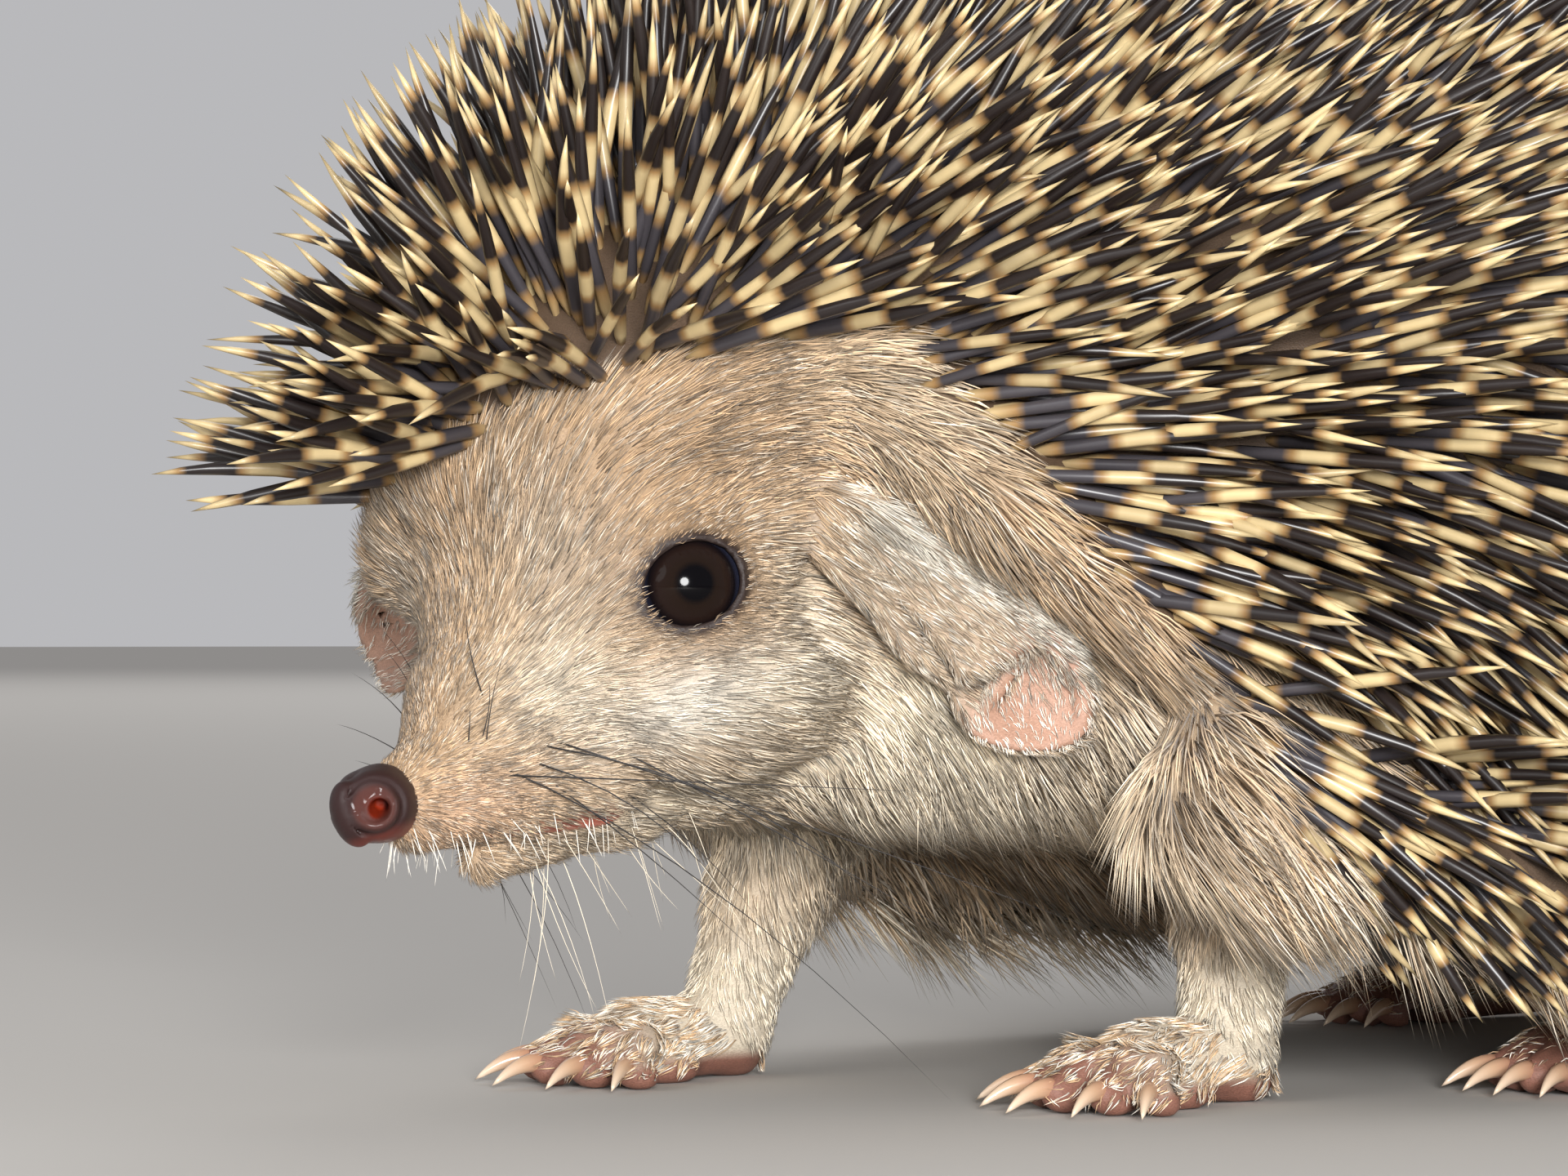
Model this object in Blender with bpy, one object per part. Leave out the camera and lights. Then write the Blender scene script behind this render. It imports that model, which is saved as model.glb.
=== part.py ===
"""A long-eared hedgehog, standing with its head lowered and turned a little to its left.

The animal faces -Y, its left side is +X and +Z is up. The four feet stand on the plane Z = 0, and the
origin is under the middle of the animal's box. Every solid reaches out to the tips of its coat.

Shapes are written in millimetres as (forward, left, up): body shapes from a point on the floor beside
the toes of the left forefoot, and head shapes from the point midway between the eyes.
"""
from math import cos, pi, radians, sin

import bmesh
import bpy
from mathutils import Matrix, Vector

# Driving dimensions, in millimetres and degrees.
MM = 0.001
GAP = 0.3                        # clearance between neighbouring solids
HEAD_AT = (22.2, 3.6, 36.3)      # midpoint between the eyes
HEAD_TURN = 9.0                  # to the animal's left
HEAD_BOW = 17.5                  # nose down
HEAD_ROLL = 6.0                  # left side up
EYE_AT = (1.0, 9.3, 0.2)
EYE_RADIUS = 4.3
EAR_THICKNESS = 1.3
FOREFOOT_LENGTH = 23.0
HINDFOOT_LENGTH = 32.0
FLAT_ANGLE = 4.0                 # neighbouring faces within this angle are joined
TOE_ROOT_RADIUS = 2.0
TOE_TIP_RADIUS = 1.55
CLAW_LENGTH = 3.6
CLAW_START = 1.95                # from the middle of the toe's round end to the claw
SPINE_STAND = 11.0               # height of the spine tips over the skin of the back
BELLY_HEIGHT = 10.0
HEM_HEIGHT = 2.5                 # of the flank's fringe behind the forefoot
HEM_RISE = 4.5                   # degrees, toward the rump
BEYOND = 200.0                   # reaches past the whole animal, for cutters
SCRAP = 0.02                     # edges shorter than this are merged away
SHARP_ANGLE = 40.0

# Where each foot stands: the back of its sole, and the way its toes turn.
FOREFEET = {"left": (-25.0, 19.0, 2.0), "right": (-7.5, -19.0, -2.0)}
HINDFEET = {"left": (-71.0, 25.0, 8.0), "right": (-104.0, -25.0, -8.0)}
SIDES = {"left": 1, "right": -1}

# Colours of the plain materials.
FUR = (0.52, 0.40, 0.26)
PALE_FUR = (0.66, 0.57, 0.44)
SPINES = (0.22, 0.18, 0.13)
BARE_SKIN = (0.42, 0.24, 0.19)
NOSE_SKIN = (0.15, 0.06, 0.055)
EYE_BLACK = (0.012, 0.008, 0.006)
CLAW_HORN = (0.55, 0.42, 0.33)

# From (forward, left, up) to Blender's X, Y, Z.
BODY = Matrix(((0, 1, 0, 0), (-1, 0, 0, 0), (0, 0, 1, 0), (0, 0, 0, 1)))

# Each solid's whole shape by name; a neighbour is cut back with a grown copy of it.
SHAPES = {}


def head_frame():
    """The head's own (forward, left, up) axes, turned, bowed and rolled, in the body's."""
    turn = Matrix.Rotation(radians(HEAD_TURN), 4, "Z")
    bow = Matrix.Rotation(radians(HEAD_BOW), 4, "Y")
    roll = Matrix.Rotation(radians(HEAD_ROLL), 4, "X")
    return BODY @ Matrix.Translation(HEAD_AT) @ turn @ bow @ roll


HEAD = head_frame()


# Shapes in a mesh that is still being built.

def add_ball(bm, frame, centre, radii, detail=3):
    """An ellipsoid."""
    place = frame @ Matrix.Translation(centre) @ Matrix.Diagonal((*radii, 1))
    bmesh.ops.create_icosphere(bm, subdivisions=detail, radius=1, matrix=place)


def add_link(bm, frame, start, start_radius, end, end_radius, detail=3):
    """A tapered rod with round ends."""
    rod = bmesh.new()
    add_ball(rod, frame, start, (start_radius,) * 3, detail)
    add_ball(rod, frame, end, (end_radius,) * 3, detail)
    hull = bmesh.ops.convex_hull(rod, input=rod.verts)
    inside = {v for v in hull["geom_interior"] + hull["geom_unused"] if isinstance(v, bmesh.types.BMVert)}
    bmesh.ops.delete(rod, geom=list(inside), context="VERTS")
    copy = bpy.data.meshes.new("rod")
    rod.to_mesh(copy)
    rod.free()
    bm.from_mesh(copy)
    bpy.data.meshes.remove(copy)


def add_chain(bm, frame, stations, detail=3):
    """Tapered rods through (point, radius) stations."""
    for (start, start_radius), (end, end_radius) in zip(stations, stations[1:]):
        add_link(bm, frame, start, start_radius, end, end_radius, detail)


def as_object(name, bm):
    """The mesh as an object of the scene, scaled from millimetres to metres."""
    bmesh.ops.scale(bm, vec=(MM,) * 3, verts=bm.verts)
    mesh = bpy.data.meshes.new(name)
    bm.to_mesh(mesh)
    bm.free()
    obj = bpy.data.objects.new(name, mesh)
    bpy.context.scene.collection.objects.link(obj)
    return obj


def bake(obj):
    """Replaces the object's mesh with the result of its modifiers."""
    bpy.context.view_layer.update()
    graph = bpy.context.evaluated_depsgraph_get()
    mesh = bpy.data.meshes.new_from_object(obj.evaluated_get(graph))
    obj.modifiers.clear()
    old = obj.data
    obj.data = mesh
    bpy.data.meshes.remove(old)


def melt(obj, voxel, rounds, faces):
    """Melts the object's overlapping shapes into one smooth skin of about this many triangles."""
    remesh = obj.modifiers.new("melt", "REMESH")
    remesh.mode = "VOXEL"
    remesh.voxel_size = voxel * MM
    smooth = obj.modifiers.new("smooth", "SMOOTH")
    smooth.factor = 0.5
    smooth.iterations = rounds
    bake(obj)
    triangles = 2 * len(obj.data.polygons)
    thin = obj.modifiers.new("thin", "DECIMATE")
    thin.ratio = min(1.0, faces / triangles)
    bake(obj)
    keep_shape(obj)


def keep_shape(obj):
    """Remembers the object's whole shape, before its neighbours cut it back."""
    SHAPES[obj.name] = obj.data.copy()


def keep_largest(obj):
    """Deletes every loose scrap but the largest body."""
    bm = bmesh.new()
    bm.from_mesh(obj.data)
    bmesh.ops.remove_doubles(bm, verts=bm.verts, dist=SCRAP * MM)
    bmesh.ops.dissolve_degenerate(bm, edges=bm.edges, dist=SCRAP * MM)
    bmesh.ops.dissolve_limit(bm, angle_limit=radians(FLAT_ANGLE), verts=bm.verts, edges=bm.edges)
    bmesh.ops.triangulate(bm, faces=bm.faces)
    waiting = set(bm.verts)
    bodies = []
    while waiting:
        front = [waiting.pop()]
        body = set(front)
        while front:
            near = {e.other_vert(v) for v in front for e in v.link_edges} & waiting
            waiting -= near
            body |= near
            front = list(near)
        bodies.append(body)
    bodies.sort(key=len)
    scraps = [v for body in bodies[:-1] for v in body]
    bmesh.ops.delete(bm, geom=scraps, context="VERTS")
    bmesh.ops.recalc_face_normals(bm, faces=bm.faces)
    bm.to_mesh(obj.data)
    bm.free()


def grown(name, distance=GAP):
    """A copy of a solid's whole shape moved outward, as a cutter."""
    bm = bmesh.new()
    bm.from_mesh(SHAPES[name])
    bm.normal_update()
    moves = [v.normal * distance * MM for v in bm.verts]
    for vertex, move in zip(bm.verts, moves):
        vertex.co += move
    mesh = bpy.data.meshes.new("cutter")
    bm.to_mesh(mesh)
    bm.free()
    cutter = bpy.data.objects.new("cutter", mesh)
    bpy.context.scene.collection.objects.link(cutter)
    return cutter


def cut(obj, cutter, operation="DIFFERENCE", solver="EXACT"):
    """Applies one Boolean and removes the cutter."""
    boolean = obj.modifiers.new("cut", "BOOLEAN")
    boolean.operation = operation
    boolean.solver = solver
    boolean.object = cutter
    bake(obj)
    remove(cutter)
    keep_largest(obj)


def remove(obj):
    """Deletes an object with its mesh."""
    mesh = obj.data
    bpy.data.objects.remove(obj)
    bpy.data.meshes.remove(mesh)


def clear_of(obj, *names):
    """Cuts the object back until it clears the named solids by GAP.

    A grown shape may cross itself in a tight fold, which the EXACT solver doesn't allow.
    """
    for name in names:
        cut(obj, grown(name), solver="MANIFOLD")


def slab(frame, low, high):
    """A block between two corners, as a cutter."""
    bm = bmesh.new()
    size = [b - a for a, b in zip(low, high)]
    middle = [(a + b) / 2 for a, b in zip(low, high)]
    place = frame @ Matrix.Translation(middle) @ Matrix.Diagonal((*size, 1))
    bmesh.ops.create_cube(bm, size=1, matrix=place)
    return as_object("cutter", bm)


def front_opening(offset):
    """The room in front of the mantle as a cutter, with every wall moved outward by minus the offset."""
    bm = bmesh.new()
    inward = Vector((1, 0, -1)).normalized() * offset
    rings = []
    for side in (-OPENING_WIDTH, -OPENING_WIDTH / 2, 0, OPENING_WIDTH / 2, OPENING_WIDTH):
        sweep = OPENING_SWEEP * (abs(side) - OPENING_PLANE)
        ring = []
        for forward, up, swept in FRONT_OPENING:
            point = Vector((forward + sweep * swept, side, up + side * OPENING_SLOPE))
            ring.append(bm.verts.new(BODY @ (point + inward)))
        rings.append(ring)
    count = len(FRONT_OPENING)
    bm.faces.new(rings[0])
    bm.faces.new(rings[-1][::-1])
    for near, far in zip(rings, rings[1:]):
        for i in range(count):
            j = (i + 1) % count
            bm.faces.new((near[j], near[i], far[i], far[j]))
    bmesh.ops.triangulate(bm, faces=bm.faces)
    bmesh.ops.recalc_face_normals(bm, faces=bm.faces)
    return as_object("cutter", bm)


def finish(obj, colour, roughness=0.8):
    """Gives the object its plain material and shades it smooth."""
    material = bpy.data.materials.new(obj.name)
    material.use_nodes = True
    shader = material.node_tree.nodes["Principled BSDF"]
    shader.inputs["Base Color"].default_value = (*colour, 1)
    shader.inputs["Roughness"].default_value = roughness
    obj.data.materials.clear()
    obj.data.materials.append(material)
    obj.data.shade_smooth()
    obj.data.set_sharp_from_angle(angle=radians(SHARP_ANGLE))


# The head.

def make_eye(name, side):
    """A round eye set into the side of the head."""
    bm = bmesh.new()
    forward, left, up = EYE_AT
    place = HEAD @ Matrix.Translation((forward, side * left, up))
    bmesh.ops.create_icosphere(bm, subdivisions=3, radius=EYE_RADIUS, matrix=place)
    eye = as_object(name, bm)
    keep_shape(eye)
    return eye


def make_nose():
    """The bare nose: a short drum across the snout's end, with a round nostril wing on each side."""
    bm = bmesh.new()
    add_ball(bm, HEAD, (24.6, 0, -6.9), (3.0, 2.6, 2.9))
    for side in SIDES.values():
        add_ball(bm, HEAD, (23.9, side * 1.5, -7.1), (2.5, 1.9, 2.6))
    nose = as_object("nose", bm)
    melt(nose, voxel=0.45, rounds=2, faces=200)
    return nose


def make_head():
    """The skull, brow, cheeks and tapered snout."""
    bm = bmesh.new()
    add_ball(bm, HEAD, (-12, 0, 0), (20, 14.5, 14))
    add_ball(bm, HEAD, (0, 0, 1.5), (12.8, 13.4, 11.4))
    add_chain(bm, HEAD, [((5, 0, -4), 9.6), ((14, 0, -6.3), 5.8), ((23.0, 0, -6.8), 3.2)])
    add_chain(bm, HEAD, [((6, 0, 1), 9.0), ((14, 0, -2.4), 5.2)])
    for side in SIDES.values():
        add_ball(bm, HEAD, (-4, side * 6.8, -6.5), (12.5, 7.5, 8))
    head = as_object("head", bm)
    melt(head, voxel=0.9, rounds=5, faces=1050)
    return head


def make_jaw():
    """The lower jaw, with its tip a little behind the nose and its fur reaching back to the throat."""
    bm = bmesh.new()
    add_chain(bm, HEAD, [((-9, 0, -13.4), 5.5), ((5, 0, -12.8), 3.6), ((13.5, 0, -12.6), 2.0)])
    jaw = as_object("lower_jaw", bm)
    melt(jaw, voxel=0.6, rounds=3, faces=260)
    return jaw


def ear_point(side, along, across, pose):
    """A point of the ear's middle sheet: along runs from root to tip, across from edge to edge."""
    root, tip, outward, width, cup = pose
    axis = Vector(tip) - Vector(root)
    face = Vector(outward).normalized()
    breadth = axis.cross(face).normalized()
    half = width * (0.62 + 0.55 * along) * max(0.0, 1 - along ** 4) ** 0.5
    bend = cup * (across ** 2 - 0.4) * (1 - 0.6 * along)
    point = Vector(root) + axis * along + breadth * (half * across) + face * bend
    return Vector((point.x, side * point.y, point.z))


def make_ear(name, side, pose, along_steps=8, across_steps=6):
    """A thin cupped ear: two sheets of points joined round the rim."""
    bm = bmesh.new()
    front, back = [], []
    shift = Vector(pose[2]).normalized() * EAR_THICKNESS
    shift.y *= side
    for i in range(along_steps + 1):
        along = sin(i / along_steps * pi / 2) * 0.992
        rows = [], []
        for j in range(across_steps + 1):
            across = 2 * j / across_steps - 1
            point = ear_point(side, along, across, pose)
            rows[0].append(bm.verts.new(HEAD @ point))
            rows[1].append(bm.verts.new(HEAD @ (point - shift)))
        front.append(rows[0])
        back.append(rows[1])
    rim = [(i, 0) for i in range(along_steps)]
    rim += [(along_steps, j) for j in range(across_steps)]
    rim += [(i, across_steps) for i in range(along_steps, 0, -1)]
    rim += [(0, j) for j in range(across_steps, 0, -1)]
    for sheet in (front, back):
        for i in range(along_steps):
            for j in range(across_steps):
                bm.faces.new((sheet[i][j], sheet[i + 1][j], sheet[i + 1][j + 1], sheet[i][j + 1]))
    for (i, j), (m, n) in zip(rim, rim[1:] + rim[:1]):
        bm.faces.new((front[i][j], front[m][n], back[m][n], back[i][j]))
    bmesh.ops.triangulate(bm, faces=bm.faces)
    bmesh.ops.recalc_face_normals(bm, faces=bm.faces)
    ear = as_object(name, bm)
    keep_shape(ear)
    return ear


# Root, tip, the way the ear's cup faces, half breadth and depth of the cup, for a left ear.
EAR_POSES = {
    "left": ((-7.5, 12.5, 3.0), (-20.5, 24.5, -18.5), (0.55, 0.8, 0.25), 6.0, 2.4),
    "right": ((-8.0, 12.0, 3.0), (-6.0, 31.0, 1.0), (1.0, 0.1, 0.1), 6.0, 2.4),
}


# The spiny coat: everything from the brow to the rump that is out to the tips of the spines.

# Side view of what the mantle leaves free, as (forward, up, swept): under the brow's spines, then down
# along the front edge, which is swept forward toward the flanks.
FRONT_OPENING = [(80, 42, 0), (54, 45.5, 0), (33, 48.5, 0), (18, 53, 0.3), (10, 53.5, 1), (3, 46, 1),
                 (-4, 35, 1), (-12, 21, 1), (-20, 9, 1), (-27, 1, 1), (-27, -20, 1), (80, -20, 0)]
OPENING_PLANE = 30.0             # the side view's distance from the middle of the body
OPENING_WIDTH = 90.0
OPENING_SWEEP = 0.45             # forward, for each step outward
OPENING_SLOPE = 0.12             # up, for each step to the animal's left

# The mantle's lengths with their front ends; the last entry only ends the rump.
SPINE_LENGTHS = [("brow_spines", BEYOND), ("shoulder_spines", 16), ("back_spines", -30),
                 ("rump_spines", -78), ("end", -BEYOND)]


def make_mantle(name, clearance):
    """The whole mantle before it is parted, or with a clearance the room that it takes up."""
    stand = SPINE_STAND
    bm = bmesh.new()
    add_ball(bm, BODY, (28, 2, 51), (23, 27, 23))
    add_ball(bm, BODY, (12, 1, 55), (28, 32, 29))
    add_ball(bm, BODY, (-16, 0, 46), (40 + stand, 34 + stand, 36 + stand))
    add_ball(bm, BODY, (-58, 0, 42), (62 + stand, 41 + stand, 46 + stand))
    for side in SIDES.values():
        flank = [((-30, side * 30, 20), 16), ((-60, side * 35, 19), 15), ((-98, side * 26, 21), 17)]
        add_chain(bm, BODY, flank)
    mantle = as_object(name, bm)
    melt(mantle, voxel=2.6, rounds=16, faces=1200)
    if clearance:
        remove(mantle)
        mantle = grown(name, clearance)
    cut(mantle, front_opening(clearance))
    bm = bmesh.new()
    add_ball(bm, BODY, (-62, 0, 8), [r - clearance for r in (62, 34, 16)])
    cut(mantle, as_object("cutter", bm))
    hem = BODY @ Matrix.Translation((-24, 0, HEM_HEIGHT)) @ Matrix.Rotation(radians(HEM_RISE), 4, "Y")
    cut(mantle, slab(hem, (-BEYOND,) * 3, (BEYOND, BEYOND, -clearance)))
    return mantle


def part_mantle(mantle):
    """Parts the mantle across the body into its four lengths."""
    parts = []
    for (name, front), (_, back) in zip(SPINE_LENGTHS, SPINE_LENGTHS[1:]):
        piece = bpy.data.objects.new(name, mantle.data.copy())
        bpy.context.scene.collection.objects.link(piece)
        low = (back + GAP / 2, -BEYOND, -BEYOND)
        high = (front - GAP / 2, BEYOND, BEYOND)
        cut(piece, slab(BODY, low, high), "INTERSECT")
        parts.append(piece)
    return parts


# The furred underside.

def make_neck():
    """The ruff behind the cheeks and ears, and the throat."""
    bm = bmesh.new()
    add_chain(bm, BODY, [((9, 2, 33), 13.5), ((-8, 0, 35), 19)])
    for side in SIDES.values():
        add_chain(bm, BODY, [((-1, side * 14, 45), 7.5), ((-6, side * 19, 36), 8), ((-13, side * 25, 26), 8)])
    neck = as_object("neck", bm)
    melt(neck, voxel=1.3, rounds=4, faces=240)
    return neck


def make_chest():
    """The chest between the forelegs."""
    bm = bmesh.new()
    add_ball(bm, BODY, (-22, 0, 29), (26, 28, 17))
    chest = as_object("chest", bm)
    melt(chest, voxel=1.5, rounds=4, faces=220)
    return chest


def make_belly():
    """The belly behind the chest, cut level below."""
    bm = bmesh.new()
    add_ball(bm, BODY, (-66, 0, 27), (50, 30, 17))
    belly = as_object("belly", bm)
    melt(belly, voxel=2.0, rounds=4, faces=240)
    cut(belly, slab(BODY, (-BEYOND,) * 3, (BEYOND, BEYOND, BELLY_HEIGHT)))
    return belly


def make_tail():
    """The short tail, drooping from under the rump's spines."""
    bm = bmesh.new()
    add_chain(bm, BODY, [((-118, 0, 17), 3.4), ((-128, 1, 11), 2.2), ((-136, 2, 7), 1.2)])
    tail = as_object("tail", bm)
    melt(tail, voxel=0.6, rounds=1, faces=90)
    return tail


# Legs and feet.

def foot_frame(place):
    """The axes of a foot: forward along the sole from its back end."""
    back, left, turn = place
    return BODY @ Matrix.Translation((back, left, 0)) @ Matrix.Rotation(radians(turn), 4, "Z")


# How far each toe points outward from the middle one, from the inner toe out, and the middle toe's reach.
FORE_TOES = (42, 20, 1, -19, -40), 8.2
HIND_TOES = (27, 13, 0, -12, -27), 9.5


def toes(length, side, fore):
    """The five toes of a foot as (root, tip, angle), from the inner one out."""
    spread, reach = FORE_TOES if fore else HIND_TOES
    row = length - reach - TOE_TIP_RADIUS - CLAW_START
    result = []
    for angle in spread:
        way = radians(angle) * -side
        root = Vector((row, sin(way) * 3.2, 2.5))
        outer_toes_shorter = 1 - abs(angle) / 160
        tip = root + Vector((cos(way), sin(way), 0)) * reach * outer_toes_shorter
        tip.z -= 0.9
        result.append((root, tip, way))
    return result


def make_foot(name, place, side, length, fore):
    """A sole with pads and five toes, flat where it meets the floor."""
    bm = bmesh.new()
    frame = foot_frame(place)
    heel = 3.6 if fore else 3.3
    add_chain(bm, frame, [((3.2, 0, 3.4), heel), ((length - 12, 0, 2.8), heel + 0.5)])
    for root, tip, _ in toes(length, side, fore):
        add_link(bm, frame, root, TOE_ROOT_RADIUS, tip, TOE_TIP_RADIUS, 2)
        pad = tip - (tip - root).normalized() * 1.2
        add_ball(bm, frame, (pad.x, pad.y, 1.0), (1.9, 1.6, 1.3), 2)
    for across in (-2.4, 2.2):
        add_ball(bm, frame, (length - 13, across, 1.2), (3.0, 2.2, 1.6), 2)
    add_ball(bm, frame, (2.6, 0.6 * side, 1.4), (2.6, 2.4, 1.8), 2)
    foot = as_object(name, bm)
    melt(foot, voxel=0.5, rounds=2, faces=300)
    cut(foot, slab(BODY, (-BEYOND,) * 3, (BEYOND, BEYOND, 0)))
    return foot


def make_foreleg(name, place, side, lean):
    """The forearm up to the elbow under the chest, which leans back from the foot."""
    bm = bmesh.new()
    frame = foot_frame(place)
    stations = [((3.0, 0, 5.0), 3.9), ((1.5 - lean * 0.4, -side, 14), 4.4), ((-lean, -2 * side, 27), 8)]
    add_chain(bm, frame, stations)
    leg = as_object(name, bm)
    melt(leg, voxel=0.8, rounds=3, faces=140)
    return leg


def make_hindleg(name, place, side):
    """The shank and the round thigh under the flank."""
    bm = bmesh.new()
    frame = foot_frame(place)
    stations = [((3.6, 0, 5.5), 4.2), ((10, -1 * side, 14), 6.5), ((-4, -3 * side, 27), 13)]
    add_chain(bm, frame, stations)
    leg = as_object(name, bm)
    melt(leg, voxel=0.9, rounds=3, faces=140)
    return leg


def make_claw(name, place, tip, way):
    """A tapered hooked claw, from the toe's end forward and down."""
    bm = bmesh.new()
    frame = foot_frame(place) @ Matrix.Translation(tip) @ Matrix.Rotation(way, 4, "Z")
    rings = []
    steps, around = 3, 5
    for i in range(steps):
        share = i / steps
        radius = 0.72 * (1 - share) + 0.16
        centre = Vector((CLAW_LENGTH * share + CLAW_START, 0, 0.7 - 1.5 * share ** 2))
        ring = []
        for k in range(around):
            angle = 2 * pi * k / around
            offset = Vector((0, cos(angle) * radius * 0.8, sin(angle) * radius))
            ring.append(bm.verts.new(frame @ (centre + offset)))
        rings.append(ring)
    end = bm.verts.new(frame @ Vector((CLAW_LENGTH + CLAW_START, 0, -1.0)))
    for first, second in zip(rings, rings[1:]):
        for k in range(around):
            n = (k + 1) % around
            bm.faces.new((first[k], first[n], second[n], second[k]))
    for k in range(around):
        bm.faces.new((rings[-1][k], rings[-1][(k + 1) % around], end))
    bm.faces.new(rings[0][::-1])
    bmesh.ops.triangulate(bm, faces=bm.faces)
    bmesh.ops.recalc_face_normals(bm, faces=bm.faces)
    return as_object(name, bm)


def build():
    """Makes the whole animal."""
    for obj in list(bpy.data.objects):
        bpy.data.objects.remove(obj)

    eyes = {word: make_eye("eye_" + word, side) for word, side in SIDES.items()}
    nose = make_nose()
    jaw = make_jaw()
    head = make_head()
    clear_of(head, "nose", "lower_jaw", "eye_left", "eye_right")
    ears = {word: make_ear("ear_" + word, side, EAR_POSES[word]) for word, side in SIDES.items()}
    for ear in ears.values():
        clear_of(ear, "head")

    mantle = make_mantle("mantle", 0)
    clear_of(mantle, "head", "ear_left", "ear_right")
    spines = part_mantle(mantle)
    remove(mantle)
    room = make_mantle("mantle_room", GAP)
    SHAPES["mantle"] = room.data.copy()
    remove(room)

    neck = make_neck()
    cut(neck, grown("mantle", 0))
    clear_of(neck, "head", "lower_jaw", "ear_left", "ear_right")
    chest = make_chest()
    cut(chest, grown("mantle", 0))
    clear_of(chest, "neck", "head", "lower_jaw")
    belly = make_belly()
    cut(belly, grown("mantle", 0))
    clear_of(belly, "chest")
    tail = make_tail()
    cut(tail, grown("mantle", 0))
    clear_of(tail, "belly")

    for word, side in SIDES.items():
        forefoot = make_foot("forefoot_" + word, FOREFEET[word], side, FOREFOOT_LENGTH, True)
        foreleg = make_foreleg("foreleg_" + word, FOREFEET[word], side, 4 if word == "right" else 0)
        hindfoot = make_foot("hindfoot_" + word, HINDFEET[word], side, HINDFOOT_LENGTH, False)
        hindleg = make_hindleg("hindleg_" + word, HINDFEET[word], side)
        for leg, foot in ((foreleg, forefoot), (hindleg, hindfoot)):
            cut(leg, grown("mantle", 0))
            clear_of(leg, foot.name, "chest", "belly", "neck")
            finish(leg, PALE_FUR)
        for foot, place, length, fore in ((forefoot, FOREFEET[word], FOREFOOT_LENGTH, True),
                                          (hindfoot, HINDFEET[word], HINDFOOT_LENGTH, False)):
            for number, (_, tip, way) in enumerate(toes(length, side, fore), 1):
                claw = make_claw(foot.name.replace("foot", "claw") + "_" + str(number), place, tip, way)
                finish(claw, CLAW_HORN, 0.4)
            finish(foot, BARE_SKIN)

    for obj in (head, neck, *ears.values()):
        finish(obj, FUR)
    for obj in (jaw, chest, belly, tail):
        finish(obj, PALE_FUR)
    for obj in spines:
        finish(obj, SPINES, 0.5)
    for obj in eyes.values():
        finish(obj, EYE_BLACK, 0.05)
    finish(nose, NOSE_SKIN, 0.3)
    centre_on_origin()


def centre_on_origin():
    """Moves every mesh so that the animal's box stands centred over the origin."""
    meshes = [obj.data for obj in bpy.data.objects]
    for axis in (0, 1):
        values = [v.co[axis] for mesh in meshes for v in mesh.vertices]
        middle = (min(values) + max(values)) / 2
        shift = Vector((0, 0, 0))
        shift[axis] = -middle
        for mesh in meshes:
            mesh.transform(Matrix.Translation(shift))


build()
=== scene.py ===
"""The looks of a long-eared hedgehog, a still life-size model standing on a plain floor.

Shapes are worked out in millimetres in body axes (x to the animal's left, y to its rear, z up) from a point
on the floor beside the left forefoot's toes. Head shapes use head axes (forward, left, up) from the point
midway between the eyes. The frame's own eye gives the step from there to the frame's axes.
"""
from collections import namedtuple
from functools import cache, reduce
from itertools import product
from math import atan, cos, pi, radians, sin

import bpy
import numpy as np
from mathutils import Matrix, Vector


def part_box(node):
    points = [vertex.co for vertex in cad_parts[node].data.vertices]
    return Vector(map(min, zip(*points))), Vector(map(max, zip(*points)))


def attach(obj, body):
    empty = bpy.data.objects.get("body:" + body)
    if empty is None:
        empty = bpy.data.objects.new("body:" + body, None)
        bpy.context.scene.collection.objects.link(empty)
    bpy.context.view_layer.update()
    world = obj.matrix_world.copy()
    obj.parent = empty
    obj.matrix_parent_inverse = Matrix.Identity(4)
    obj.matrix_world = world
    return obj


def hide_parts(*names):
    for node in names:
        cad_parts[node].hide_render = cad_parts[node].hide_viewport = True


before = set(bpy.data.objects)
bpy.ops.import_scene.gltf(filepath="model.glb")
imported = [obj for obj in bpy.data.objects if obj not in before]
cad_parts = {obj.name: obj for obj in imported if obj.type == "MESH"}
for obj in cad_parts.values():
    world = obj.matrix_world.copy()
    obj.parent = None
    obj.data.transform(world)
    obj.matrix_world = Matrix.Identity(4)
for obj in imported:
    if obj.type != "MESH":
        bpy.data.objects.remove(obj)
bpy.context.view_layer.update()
MM = 0.001
SEED = 7

# Driving dimensions, as in the solids, in millimetres and degrees.
HEAD_AT = (22.2, 3.6, 36.3)
HEAD_TURN, HEAD_BOW, HEAD_ROLL = 9.0, 17.5, 6.0
EYE_AT = np.array((1.0, 9.3, 0.2))
EYE_RADIUS = 4.3
EYE_LOOK = (0.47, 0.88, 0.1)        # the way the left eye faces, in head axes
EYE_OPENING = (3.5, 2.8)            # half width and half height between the lids

# A foot: its length, its toes' angles and reach, its heel's radius; then its side, where the back of its
# sole stands (forward, left), how far it turns and how far its leg leans to the rear.
Foot = namedtuple("Foot", "kind length spread reach heel side back left turn lean")
FORE = ("fore", 23.0, (42, 20, 1, -19, -40), 8.2, 2.9)
HIND = ("hind", 32.0, (27, 13, 0, -12, -27), 9.5, 2.7)
FEET = [Foot(*FORE, 1, -25.0, 19.0, 2.0, 0.0), Foot(*HIND, 1, -71.0, 25.0, 8.0, 0.0),
        Foot(*FORE, -1, -7.5, -19.0, -2.0, 4.0), Foot(*HIND, -1, -104.0, -25.0, -8.0, 0.0)]


# Vectors.

def norm(v):
    return np.sqrt((v * v).sum(-1))


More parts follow.
